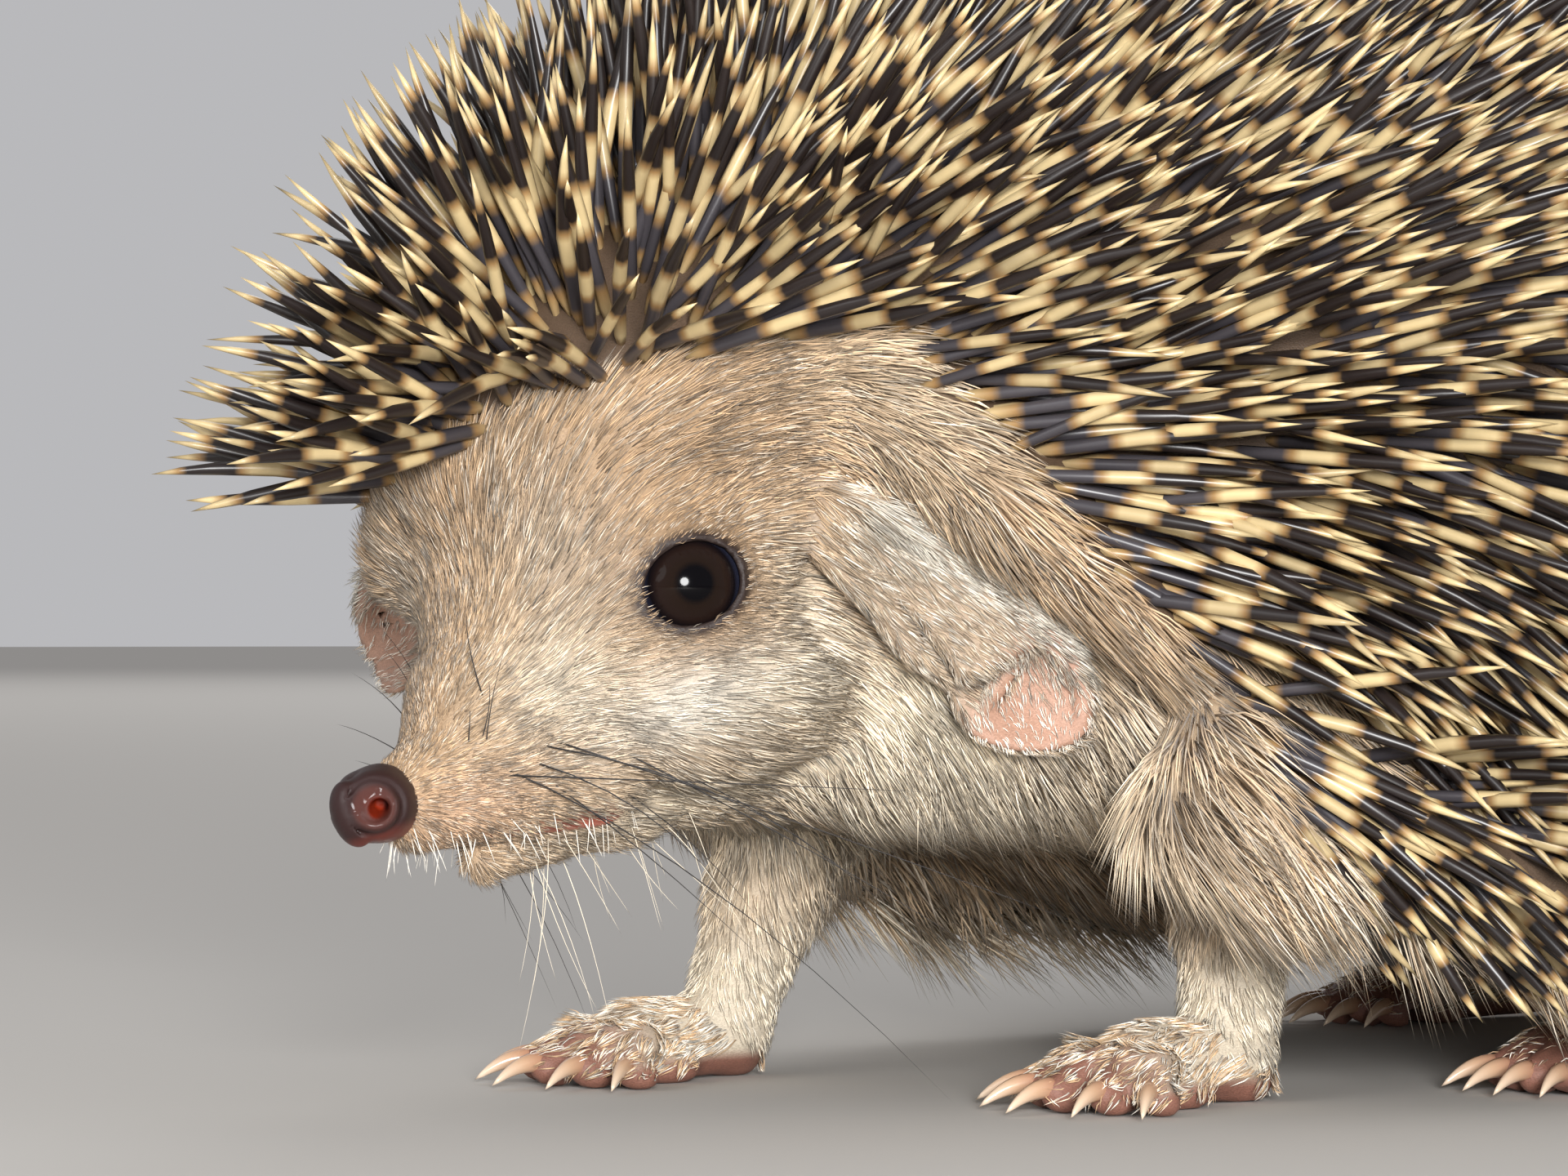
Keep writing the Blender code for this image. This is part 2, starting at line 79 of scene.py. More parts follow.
def unit(v):
    v = np.asarray(v, float)
    return v / np.maximum(norm(v)[..., None], 1e-9)


def step(low, high, value):
    """A smooth step from 0 at low to 1 at high."""
    t = np.clip((value - low) / (high - low), 0, 1)
    return t * t * (3 - 2 * t)


def body(forward, left, up):
    return np.array([left, -forward, up], float)


def head_axes():
    turn, bow, roll = radians(HEAD_TURN), radians(HEAD_BOW), radians(HEAD_ROLL)
    ahead = np.array([sin(turn) * cos(bow), -cos(turn) * cos(bow), -sin(bow)])
    level = np.array([cos(turn), sin(turn), 0.0])
    above = np.cross(ahead, level)
    left = level * cos(roll) + above * sin(roll)
    return np.stack([ahead, left, np.cross(ahead, left)])


HEAD_AXES = head_axes()
HEAD_ORIGIN = body(*HEAD_AT)


def to_head(p):
    return (p - HEAD_ORIGIN) @ HEAD_AXES.T


def from_head(q):
    return np.asarray(q, float) @ HEAD_AXES + HEAD_ORIGIN


def mirrored(q):
    """Points in head axes, those of the right half moved to the left one."""
    return np.stack([q[:, 0], np.abs(q[:, 1]), q[:, 2]], 1)


def frame_shift():
    """From body axes to the frame's, found at the left eye; both stand on the same floor."""
    low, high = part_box("eye_left")
    centre = (np.array(low) + np.array(high)) / (2 * MM)
    return (centre - from_head(EYE_AT)) * (1, 1, 0)


SHIFT = frame_shift()


def place(p):
    """Body axes in millimetres to the frame's axes in metres."""
    return (np.asarray(p, float) + SHIFT) * MM


# Signed distances in millimetres, negative inside.

def smin(a, b, k):
    h = np.clip(0.5 + 0.5 * (b - a) / k, 0, 1)
    return b * (1 - h) + a * h - k * h * (1 - h)


def smax(a, b, k):
    return -smin(-a, -b, k)


def ball(p, centre, radii):
    q = p - np.asarray(centre, float)
    r = np.asarray(radii, float)
    k0 = norm(q / r)
    return k0 * (k0 - 1) / np.maximum(norm(q / (r * r)), 1e-9)


def rod(p, a, b, ra, rb):
    a, b = np.asarray(a, float), np.asarray(b, float)
    ab = b - a
    t = np.clip(((p - a) @ ab) / (ab @ ab), 0, 1)
    return norm(p - a - t[:, None] * ab) - (ra + (rb - ra) * t)


def chain(p, stations, k):
    """Rods end to end through (place, radius) stations."""
    rods = [rod(p, a, b, ra, rb) for (a, ra), (b, rb) in zip(stations, stations[1:])]
    return reduce(lambda d, e: smin(d, e, k), rods)


def within(p, near, field, far=8.0):
    """The field where it matters, and a plain far value elsewhere."""
    d = np.full(len(p), float(far))
    if near.any():
        d[near] = field(p[near])
    return d


# The skin.

LOOK = unit(EYE_LOOK)
EYE_WIDE = unit(np.cross((0, 0, 1), LOOK))
EYE_HIGH = np.cross(LOOK, EYE_WIDE)


def eye_coordinates(m):
    """How far along the eye's axis, and how far out on the oval of its opening (1 on the lid's edge)."""
    e = m - EYE_AT
    wide, high = EYE_OPENING
    return e @ LOOK, np.sqrt((e @ EYE_WIDE / wide) ** 2 + (e @ EYE_HIGH / high) ** 2)


# An ear lies along its own axes: a runs from root to tip, b from the rear margin to the front one, c out of
# its inner face. Outlines are in millimetres on a and b, and ridges are (a, b, c) stations with radii.
EAR_POSES = {1: ((-7.5, 12.5, 3), (-20.5, 24.5, -18.5), (0.55, 0.8, 0.25)),
             -1: ((-8, -12, 3), (-8.5, -30.5, 0.5), (1, -0.1, 0.1))}
EAR_OUTLINE = [(-3, -2.2), (2, -3.3), (6, -4.2), (10, -4.7), (13.4, -4.7), (17.5, -4.3), (21, -3.3),
               (23.6, -2.2), (25.4, -0.8), (26.3, 1.1), (26, 2.6), (24.8, 4.0), (23, 5.3), (21, 6.1),
               (19.3, 6.3), (17.5, 5.4), (16, 4.2), (13, 4.2), (9.5, 3.2), (5, 2.2), (0, 1.5), (-3, 1)]
EAR_RIM = [((-2, -1.6, -2.2), 0.9), ((6, -3.5, 0.9), 1.2), ((13.4, -3.9, 1.2), 1.3), ((21, -2.6, 1.0), 1.1),
           ((24.6, -0.6, 0.5), 0.6), ((25.5, 1.2, 0.4), 0.5)]
EAR_FLAP = [(5, -1.0), (10.8, -2.4), (14, -2.6), (18.6, -1.9), (19.4, -1.2), (18.2, 0.6), (16.8, 2.9),
            (16.2, 3.6), (14, 2.6), (10, 1.0)]
EAR_ROLL = [((19.2, -1.3, 1.9), 0.6), ((17.9, 0.6, 2.0), 0.65), ((16.4, 3.2, 1.9), 0.6)]
EAR_STRIP = [((19.1, -0.6, 0.9), 0.75), ((19.0, 2.6, 0.8), 0.75), ((18.7, 5.4, 0.5), 0.6)]
EAR_FRONT = [((7.5, 1.2, 0.2), 0.7), ((10, 2.4, 0.5), 0.85), ((12.7, 3.6, 0.6), 0.85), ((15, 3.7, 0.4), 0.6)]
EAR_HALF_THICK = 0.5
EAR_MIDDLE, EAR_REACH = (12, 0, 0), 17     # a ball round the whole ear


def ear_axes(side):
    root, tip, outward = [np.array(v, float) for v in EAR_POSES[side]]
    along = unit(tip - root)
    out = unit(outward - outward @ along * along)
    return root, along, np.cross(along, out) * side, out


def in_ear(q, side):
    """Points in head axes as the ear's own a, b and c."""
    root, *axes = ear_axes(side)
    return np.stack([(q - root) @ axis for axis in axes], 1)


def outline_distance(ab, outline):
    """Signed distance on a plane to a closed outline, negative inside."""
    corners = np.array(outline, float)
    best, inside = np.full(len(ab), 1e9), np.zeros(len(ab), bool)
    for p, q in zip(corners, np.roll(corners, -1, 0)):
        edge, w = q - p, ab - p
        t = np.clip((w @ edge) / (edge @ edge), 0, 1)
        best = np.minimum(best, ((w - t[:, None] * edge) ** 2).sum(1))
        spans = (p[1] <= ab[:, 1]) != (q[1] <= ab[:, 1])
        rise = np.where(spans, edge[1], 1) if edge[1] else 1
        inside ^= spans & (ab[:, 0] < p[0] + (ab[:, 1] - p[1]) / rise * edge[0])
    return np.sqrt(best) * np.where(inside, -1, 1)


def ear_field(q, side):
    abc = in_ear(q, side)
    result = norm(abc - EAR_MIDDLE) - EAR_REACH
    near = result < 1
    result[near] = ear_shape(abc[near], side)
    return result


def ear_shape(abc, side):
    """A cupped blade with a rolled rim and, on the left, the front margin folded back over it."""
    a, b, c = abc.T
    cup = 0.03 if side > 0 else 0.11
    level = cup * (b - 0.8) ** 2 - 0.9 * np.exp(-((a - 22.0) / 2.6) ** 2 - ((b - 2.0) / 2.6) ** 2)
    level -= 0.5 * np.exp(-((a - 8) / 5) ** 2 - (b / 1.6) ** 2)
    level -= 3.0 * step(5, -3, a)
    d = smax(np.abs(c - level) - EAR_HALF_THICK, outline_distance(abc[:, :2], EAR_OUTLINE), 0.5)
    d = smin(d, chain(abc, EAR_RIM, 0.3), 0.5)
    if side > 0:
        lift = 0.4 + 1.5 * step(7, 17, a)
        flap = smax(np.abs(c - level - lift) - EAR_HALF_THICK, outline_distance(abc[:, :2], EAR_FLAP), 0.5)
        flap = smin(flap, chain(abc, EAR_ROLL, 0.3), 0.4)
        d = smin(d, flap, 0.3)
        d = smin(d, chain(abc, EAR_STRIP, 0.3), 0.4)
    return smin(d, chain(abc, EAR_FRONT, 0.3), 0.6)


def ear_bed(q, side):
    """The room the ear lies in: a shallow hollow in the ruff."""
    a, b, c = in_ear(q, side).T
    reach = smax(np.abs(b - 0.8) - 5.6, smax(a - 31.0, 3.5 - a, 4), 4)
    return smax(reach, -1.0 - c - 0.02 * (b - 0.8) ** 2, 1)


def head_field(q):
    m = mirrored(q)
    d = ball(q, (-12, 0, -0.3), (19, 13.6, 13.2))
    d = smin(d, ball(q, (0, 0, 1.3), (11.8, 12.3, 10.3)), 3)
    d = smin(d, rod(q, (5, 0, -4.2), (14, 0, -6.4), 8.6, 4.9), 4)
    d = smin(d, rod(q, (14, 0, -6.6), (21.4, 0, -6.9), 4.8, 2.5), 2)
    d = smin(d, rod(q, (6, 0, 0.6), (13.5, 0, -2.8), 8.0, 4.2), 3)
    d = smin(d, ball(m, (-4, 6.6, -6.8), (11.8, 6.8, 7.3)), 4)
    d = smin(d, rod(m, (21.6, 0.6, -9.2), (9, 3.2, -10.4), 1.6, 3.6), 1.5)
    jaw = chain(q, [((-9, 0, -13.4), 4.7), ((5, 0, -13.0), 2.9), ((17.2, 0, -13.2), 1.4)], 2)
    d = smin(d, jaw, 0.7)
    d = smax(d, 0.42 - mouth_distance(m), 0.4)
    axial, oval = eye_coordinates(m)
    eye = norm(m - EYE_AT)
    d = smax(d, -ball(m, EYE_AT + LOOK * 8.6 + EYE_WIDE * 3.0, (5.0, 5.0, 4.6)), 2.0)
    d = smin(d, eye - EYE_RADIUS - 0.6, 1.6)
    window = np.maximum((oval - 1) * EYE_OPENING[1], 0.5 - axial)
    d = smax(d, -window, 0.35)
    return smax(d, EYE_RADIUS + 0.03 - eye, 0.1)


def mouth_distance(m):
    """From the line between the lips, on the left half of the head."""
    return rod(m, (21.3, 1.5, -12.1), (9.5, 5.2, -13.2), 0.0, 0.0)


NOSE_AT = np.array((25.1, 0.0, -6.75))
NOSTRIL_WAY = unit((0.6, 0.79, 0.08))     # the way the left wing of the nose faces
WING_AT = np.array((0, 0.5, 0))
WING_RADIUS = 2.35


def in_wing(m):
    """How far along the left wing's axis and across it, from points counted from the nose's middle."""
    r = m - WING_AT
    axial = r @ NOSTRIL_WAY
    return axial, r - axial[:, None] * NOSTRIL_WAY


def nose_field(q):
    """Two round wings, each with a curled lip round its nostril, and a pad between them in front."""
    q = q - NOSE_AT
    m = mirrored(q)
    axial, flat = in_wing(m)
    aside = unit(np.cross((0, 0, 1), NOSTRIL_WAY))
    above = np.cross(NOSTRIL_WAY, aside)
    x, y = flat @ aside, flat @ above
    radial = np.sqrt(x * x + y * y)
    dome = 1.85 - 0.12 * radial ** 2
    d = smax(radial - WING_RADIUS, np.maximum(axial - dome, -2.6 - axial), 0.9)
    d = smin(d, ball(q, (1.55, 0, 0.0), (1.35, 1.5, 2.3)), 0.25)
    d = smin(d, ball(q, (-1.2, 0, -0.15), (2.4, 2.5, 2.6)), 0.8)
    lip = np.sqrt((radial - 1.35) ** 2 + (axial - dome - 0.02) ** 2) - 0.36
    opened = step(2.2, 0.9, np.abs(np.arctan2(y, x) - 2.0))
    d = smin(d, lip + 0.5 * opened, 0.3)
    groove = np.sqrt((radial - 1.9) ** 2 + (axial - dome - 0.1) ** 2) - 0.13
    d = smax(d, -groove, 0.25)
    mouth, rim = WING_AT + NOSTRIL_WAY * 2.6, WING_AT + NOSTRIL_WAY * 2.4
    hole = rod(m, mouth + aside * 0.15 - above * 0.25, WING_AT - NOSTRIL_WAY * 0.2 + aside * 0.5, 0.74, 0.5)
    tail = rod(m, rim + aside * 0.1, WING_AT + NOSTRIL_WAY * 1.9 + aside * 0.7 + above * 0.9, 0.4, 0.12)
    return smax(d, -smin(hole, tail, 0.2), 0.3)


# The edge between fur and spines, from the brow's middle round each side: brow points in head axes, the
# rest in body (forward, left, up).
BROW_EDGE = {1: [(8.6, 0, 11.2), (3.5, 5, 13.4), (0.5, 10, 14.6), (-12, 13, 13.2)],
             -1: [(8.6, 0, 11.2), (8.6, -6, 11.2), (7.5, -12, 9.8), (-8, -15, 10.5)]}
SIDE_EDGE = [(10.6, 19, 53.4), (8.2, 23, 49), (6.4, 27, 44.4), (3.2, 30, 39.3), (-0.5, 32.5, 34.8)]
LOW_EDGE = {1: [(-5.7, 34.5, 27.5), (-10.5, 36, 21.5), (-16.5, 37.5, 16), (-24, 38.5, 12.5)],
            -1: [(-9, 34.5, 27.5), (-16, 36, 21.5), (-22, 37.5, 16), (-29, 38.5, 12.5)]}
HEM = [(-36, 39.5, 11.5), (-55, 40, 11.5), (-75, 39, 12), (-97, 34, 14), (-114, 22, 17), (-124, 0, 20)]
# The rolls of loose skin under that edge and along the flanks, and the crown's, with their radii.
HEM_ROLL = [((-10, 28, 26), 2.5), ((-26, 34, 19), 4.3), ((-38, 35.5, 16), 5), ((-55, 36, 15.5), 5),
            ((-75, 34.5, 16), 5), ((-95, 29.5, 18), 5), ((-110, 19, 21), 5), ((-117, 0, 23), 5)]
CROWN_ROLL = [((29, 4, 46), 7), ((18, 2, 52), 11), ((4, 0, 56), 16), ((-14, 0, 60), 20)]


def edge_points(side):
    points = [from_head(q) for q in BROW_EDGE[side]]
    return points + [body(f, side * l, u) for f, l, u in SIDE_EDGE + LOW_EDGE[side]]


def hood_roll(side):
    """Stations a little inside the edge, thickest beside the cheek."""
    stations = []
    for i, point in enumerate(edge_points(side)[:-2]):
        inset = np.array([-(2.0 + 0.3 * i) * side if i > 1 else 0, 3.0, -2.5])
        stations.append((point + inset, 4.0 + 0.15 * min(i, 6) - 0.5 * max(i - 8, 0)))
    return stations


def hood_field(p):
    """The roll of skin under the edge of the spines."""
    return smin(chain(p, hood_roll(1), 1.5), chain(p, hood_roll(-1), 1.5), 2)


def body_chain(p, stations, k):
    """A chain through stations given in body (forward, left, up)."""
    return chain(p, [(body(*at), radius) for at, radius in stations], k)


def trunk_field(p):
    d = ball(p, body(-20, 0, 43), (30, 33, 24))
    d = smin(d, ball(p, body(-50, 0, 46), (40, 44, 40)), 16)
    d = smin(d, ball(p, body(-88, 0, 41), (38, 40, 36)), 14)
    lowest = 11 + 9 * step(-42, -18, -p[:, 1])
    d = smax(d, lowest - p[:, 2], 7)
    d = smin(d, body_chain(p, CROWN_ROLL, 4), 8)
    folded = np.stack([np.abs(p[:, 0]), p[:, 1], p[:, 2]], 1)
    hem = within(folded, p[:, 2] < 36, lambda r: body_chain(r, HEM_ROLL, 1), 12)
    d = smin(d, hem, 9)
    return smin(d, within(p, p[:, 1] < 36, hood_field, 12), 6.5)


def foot_axes(p, foot):
    """Points in a foot's own (forward, left, up), from the back of its sole."""
    f, l = -p[:, 1] - foot.back, p[:, 0] - foot.left
    c, s = cos(radians(foot.turn)), sin(radians(foot.turn))
    return np.stack([f * c + l * s, l * c - f * s, p[:, 2]], 1)


def from_foot(q, foot):
    c, s = cos(radians(foot.turn)), sin(radians(foot.turn))
    return body(q[:, 0] * c - q[:, 1] * s + foot.back, q[:, 0] * s + q[:, 1] * c + foot.left, q[:, 2]).T


def toes(foot):
    """Each toe's root, knuckle, tip and way, from the inner toe out, in its foot's axes."""
    for angle in foot.spread:
        way = radians(angle) * -foot.side
        ahead = np.array([cos(way), sin(way), 0])
        root = np.array([foot.length - foot.reach - 3.5, sin(way) * 3.2, 2.6])
        long = foot.reach * (1 - abs(angle) / 160)
        yield root, root + ahead * long * 0.5 + (0, 0, 0.7), root + ahead * long + (0, 0, -1.1), ahead


def foot_field(p, foot):
    q = foot_axes(p, foot)
    near = (np.abs(q[:, 0] - foot.length / 2) < foot.length / 2 + 9) & (np.abs(q[:, 1]) < 16) & (q[:, 2] < 17)
    return within(q, near, lambda r: sole_and_toes(r, foot))


def sole_and_toes(q, foot):
    length, heel = foot.length, foot.heel
    d = rod(q, (3.2, 0, 3.2), (length - 12, 0, 2.9), heel, heel + 0.3)
    for root, knuckle, tip, _ in toes(foot):
        toe = chain(q, [(root, 1.7), (knuckle, 1.35), (tip, 1.15)], 0.5)
        d = smin(d, toe, 0.5)
        d = smin(d, ball(q, tip + (-1.0, 0, -0.5), (1.5, 1.3, 1.1)), 0.3)
    for across in (-2.4, 2.2):
        d = smin(d, ball(q, (length - 13, across, 1.2), (2.9, 2.1, 1.5)), 0.5)
    return smin(d, ball(q, (2.4, 0.6 * foot.side, 1.5), (2.4, 2.2, 1.8)), 0.6)


def feet_field(p):
    return reduce(np.minimum, [foot_field(p, foot) for foot in FEET])


def leg_field(p, foot):
    q, side, lean = foot_axes(p, foot), foot.side, foot.lean
    if foot.kind == "fore":
        leg = chain(q, [((3.0, 0, 4.5), 3.3), ((1.5 - lean * 0.4, -side, 14), 3.9),
                        ((-lean, -2 * side, 27), 7.5)], 2)
    else:
        leg = chain(q, [((3.6, 0, 5.0), 3.3), ((10, -side, 14), 5.6), ((-4, -3 * side, 27), 12)], 3)
    return smin(leg, foot_field(p, foot), 1.5)


def four_legs(p):
    fore_left, hind_left, fore_right, hind_right = [leg_field(p, foot) for foot in FEET]
    return smin(smin(fore_left, hind_left, 1), smin(fore_right, hind_right, 1), 1)


def leg_fields(p):
    """Both forelegs and hind legs with their feet."""
    return within(p, p[:, 2] < 44, four_legs)


def throat_field(p):
    """The throat's loose skin, hanging level between the forelegs."""
    return smax(ball(p, body(-5, 0, 29), (21, 16, 14)), 21.5 - p[:, 2], 3)


def skin_field(p):
    q = to_head(p)
    d = within(q, norm(q - (3, 0, -2)) < 42, head_field, 12)
    neck = rod(p, from_head((-14, 0, -2)), body(-8, 0, 37), 12.5, 16.5)
    near_head = step(-4, -14, q[:, 0])
    d = np.where(near_head > 0, smin(d, neck + 30 * (1 - near_head), 5), d)
    throat = within(p, norm(p - body(-5, 0, 30)) < 32, throat_field, 12)
    d = smin(d, smin(throat, trunk_field(p), 5), 2.5)
    d = smax(d, -ear_bed(q, 1), 4)
    d = smin(d, leg_fields(p), 3)
    d = smin(d, np.minimum(ear_field(q, 1), ear_field(q, -1)), 0.7)
    tail = [((-116, 0, 18), 3.0), ((-128, 1, 11), 1.6), ((-135, 2, 7.4), 0.8)]
    d = smin(d, body_chain(p, tail, 1), 2)
    return smax(d, -p[:, 2], 0.3)


# Surfaces from fields.

def grid_axis(*stretches):
    """Grid stops through (start, end, spacing) stretches."""
    return np.concatenate([np.arange(*stretch) for stretch in stretches])


def in_chunks(field, points, size=200000):
    return np.concatenate([field(points[i:i + size]) for i in range(0, len(points), size)])


def gradient(field, points, reach=0.03):
    return np.stack([(in_chunks(field, points + nudge) - in_chunks(field, points - nudge)) / (2 * reach)
                     for nudge in np.eye(3) * reach], 1)


def sample(field, axes, stride=4):
    """The field on a grid, worked out point by point only near the surface."""
    picks = [np.unique(np.append(np.arange(0, len(a), stride), len(a) - 1)) for a in axes]
    coarse = np.stack(np.meshgrid(*[a[i] for a, i in zip(axes, picks)], indexing="ij"), -1)
    rough = in_chunks(field, coarse.reshape(-1, 3)).reshape(coarse.shape[:3])
    nearest = [np.abs(np.arange(len(a))[:, None] - i[None]).argmin(1) for a, i in zip(axes, picks)]
    values = rough[np.ix_(*nearest)].astype(np.float32)
    reach = [np.gradient(a) * (stride / 2 + 1) for a in axes]
    margin = np.sqrt(reach[0][:, None, None] ** 2 + reach[1][None, :, None] ** 2 + reach[2] ** 2)
    near = np.abs(values) < margin * 1.5
    points = np.stack([a[i] for a, i in zip(axes, np.nonzero(near))], 1)
    values[near] = in_chunks(field, points)
    return values


def nets(field, axes, rounds=2):
    """The field's surface as quads, each corner moved onto it."""
    f = sample(field, axes)
    inside = f < 0
    nx, ny, nz = np.array(f.shape) - 1
    corners = list(product((0, 1), repeat=3))
    count = sum(inside[i:i + nx, j:j + ny, k:k + nz].astype(np.int8) for i, j, k in corners)
    mixed = (count > 0) & (count < 8)
    index = np.argwhere(mixed)
    number = np.full(mixed.shape, -1)
    number[mixed] = np.arange(len(index))
    stride = np.eye(3, dtype=int)
    total, weight = np.zeros((len(index), 3)), np.zeros(len(index))
    for a in corners:
        for axis in range(3):
            if a[axis]:
                continue
            fa, fb = [f[tuple((index + c).T)].astype(float) for c in (a, a + stride[axis])]
            crosses = (fa < 0) != (fb < 0)
            point = np.repeat(np.asarray(a, float)[None], len(index), 0)
            point[:, axis] += np.where(crosses, fa / np.where(crosses, fa - fb, 1), 0)
            total += point * crosses[:, None]
            weight += crosses
    at = index + total / weight[:, None]
    points = np.stack([np.interp(at[:, i], np.arange(len(a)), a) for i, a in enumerate(axes)], 1)
    quads = []
    for axis in range(3):
        u, v = stride[[k for k in range(3) if k != axis]]
        edge = np.argwhere(np.diff(inside, axis=axis))
        ring = [edge - u - v, edge - v, edge, edge - u]
        quad = np.stack([number[tuple(cell.T)] for cell in ring], 1)
        flip = inside[tuple(edge.T)] == (axis == 1)
        quad[flip] = quad[flip][:, ::-1]
        quads.append(quad)
    for _ in range(rounds):
        distance = in_chunks(field, points)
        slope = np.stack([(in_chunks(field, points + nudge) - distance) / 0.03
                          for nudge in np.eye(3) * 0.03], 1)
        points = points - slope * (distance / np.maximum((slope * slope).sum(1), 0.25))[:, None]
    return points, np.concatenate(quads)


# Colours, from the sRGB values that a painter would name.

def srgb(r, g, b):
    c = np.array([r, g, b]) / 255
    return np.where(c <= 0.04045, c / 12.92, ((c + 0.055) / 1.055) ** 2.4)


TAN, CREAM, WHITE = srgb(204, 172, 135), srgb(240, 228, 206), srgb(248, 243, 232)
BROWN, UMBER, GREY = srgb(156, 130, 104), srgb(110, 82, 60), srgb(184, 172, 155)
ORANGE, PEACH = srgb(226, 178, 124), srgb(226, 188, 156)
# The lip colour is the lips' own pink and also painted shade for the groove between them.
LIP_PINK_AND_GROOVE_SHADE, LID, TOE_SKIN = srgb(176, 100, 82), srgb(44, 31, 27), srgb(136, 94, 80)
EAR_SKIN, EAR_BACK, SPINE_SKIN = srgb(184, 146, 126), srgb(172, 152, 130), srgb(88, 70, 54)
SKIN_SHADE = 0.72                   # the skin is this much darker than the hair on it

# Patches of the coat over tan, and one of painted shade under the belly: colour, centre, reach and
# strength. Head patches are in head axes, body patches in body (forward, left, up); both are given for the
# left side.
HEAD_PATCHES = [
    (BROWN, (9, 1, 7), (6, 6, 7), 0.7), (CREAM, (11, 5.5, -3.5), (5.5, 4, 4), 0.75),
    (BROWN, (16, 0, -2), (7, 3, 3), 0.6), (PEACH, (20, 3, -9), (6, 3, 2.6), 0.7),
    (WHITE, (4, 10.5, -7.3), (9.5, 5, 3.0), 0.9), (CREAM, (-4, 13, -8.5), (8, 6, 3.4), 0.7),
    (UMBER, (1.8, 12, 0.4), (4.9, 6, 4.3), 0.7), (BROWN, (7, 9, 3), (3.4, 4, 3), 0.4),
    (CREAM, (-6.5, 13, -3), (3.6, 5, 4.5), 0.65), (ORANGE, (-11, 13, -2), (2.4, 5, 8), 0.6),
    (CREAM, (-15, 13, -12), (7, 8, 8), 0.9), (CREAM, (4, 4, -14), (12, 7, 3), 0.8),
    (BROWN, (6, 3, 9.5), (6, 6, 4.5), 0.3), (GREY, (9, 6, 4), (4, 4, 6), 0.5)]
BODY_PATCHES_AND_BELLY_SHADE = [
    (CREAM, (4, 14, 22), (16, 16, 12), 0.7), (CREAM, (-12, 14, 24), (18, 18, 12), 0.8),
    (CREAM, (6, 18, 50), (9, 9, 9), 0.5), (CREAM, (-19, 36, 14), (10, 7, 8), 0.7),
    # painted shade: this brown patch darkens the belly, which lies in shadow behind the forelegs
    (BROWN, (-44, 0, 14), (26, 24, 9), 0.6)]


def toward(colour, other, share):
    """Part of the way from one colour to another, by a share for each point."""
    return colour + (other - colour) * share[:, None]


def blend_patches(points, colour, patches):
    for tone, centre, reach, strength in patches:
        d = norm((points - np.array(centre, float)) / np.array(reach, float))
        colour = toward(colour, tone, strength * np.exp(-d ** 2))
    return colour


def coat_colour(p):
    """The coat's colour at points of the body, the same for skin and hair, with painted shade under the
    belly.
    """
    forward, across, up = -p[:, 1], np.abs(p[:, 0]), p[:, 2]
    colour = np.repeat(TAN[None], len(p), 0)
    colour = blend_patches(np.stack([forward, across, up], 1), colour, BODY_PATCHES_AND_BELLY_SHADE)
    q = mirrored(to_head(p))
    head = step(-22, -12, q[:, 0]) * step(-24, -19, q[:, 2])
    colour = toward(colour, blend_patches(q, colour, HEAD_PATCHES), head)
    # Low fur turns cream, except in the belly's middle, which keeps its painted shade.
    low = step(16, 8, up) * (1 - 0.8 * step(-30, -40, forward) * step(24, 16, across))
    return toward(colour, CREAM, low * (1 - head))


def bare_parts(p, colour):
    """The colour of skin that hair leaves bare: lids, lips with painted shade in the groove between them,
    inner ear and toes.
    """
    q = to_head(p)
    m = mirrored(q)
    axial, oval = eye_coordinates(m)
    colour = toward(colour, LID, step(1.45, 1.15, oval) * step(-0.5, 0.5, axial))
    # The lips' pink, darker than the coat round it, is partly painted shade in the groove between the lips.
    colour = toward(colour, LIP_PINK_AND_GROOVE_SHADE, step(1.7, 0.5, mouth_distance(m)))
    for side in (1, -1):
        bare = step(16.5, 20, in_ear(q, side)[:, 0])[:, None]
        colour = toward(colour, EAR_SKIN * bare + EAR_BACK * (1 - bare), step(0.5, 0.1, ear_field(q, side)))
    toes_and_sole = np.maximum(step(0.45, 0.8, foot_places(p)[1][:, 0]), step(2.4, 1.4, p[:, 2]))
    return toward(colour, TOE_SKIN, step(0.7, 0.3, feet_field(p)) * toes_and_sole)


def foot_places(p):
    """Each point's nearest foot, by number, and its place there: 0 to 1 along the foot, millimetres aside."""
    places, distance = [], []
    for foot in FEET:
        q = foot_axes(p, foot)
        places.append(q / (foot.length, 1, 1))
        distance.append(norm(q - (foot.length / 2, 0, 3)))
    pick = np.argmin(distance, 0)
    return pick, np.stack(places)[pick, np.arange(len(p))]


# The mantle's edge.

EDGE_SPACING = 0.8
MANTLE_HEART = body(-45, 0, 95)     # the spines lie to this side of their edge


def mantle_edge():
    """The edge as closely spaced points, each with the way into the spines."""
    points, ways = [], []
    for side in (1, -1):
        loop = np.array(edge_points(side) + [body(f, side * l, u) for f, l, u in HEM])
        lengths = np.append(0, np.cumsum(norm(np.diff(loop, axis=0))))
        stops = np.arange(0, lengths[-1], EDGE_SPACING)
        dense = np.stack([np.interp(stops, lengths, loop[:, k]) for k in range(3)], 1)
        along = unit(np.gradient(dense, axis=0))
        into = unit(np.cross(along, unit(gradient(skin_field, dense, 1.0))))
        into *= np.sign((into * (MANTLE_HEART - dense)).sum(1, keepdims=True))
        points.append(dense)
        ways.append(into)
    return np.concatenate(points), np.concatenate(ways)


EDGE, INTO = mantle_edge()


def from_edge(p):
    square = ((p[:, None] - EDGE[None]) ** 2).sum(-1)
    nearest = square.argmin(1)
    side = np.sign(((p - EDGE[nearest]) * INTO[nearest]).sum(1))
    return side * np.sqrt(square[np.arange(len(p)), nearest])


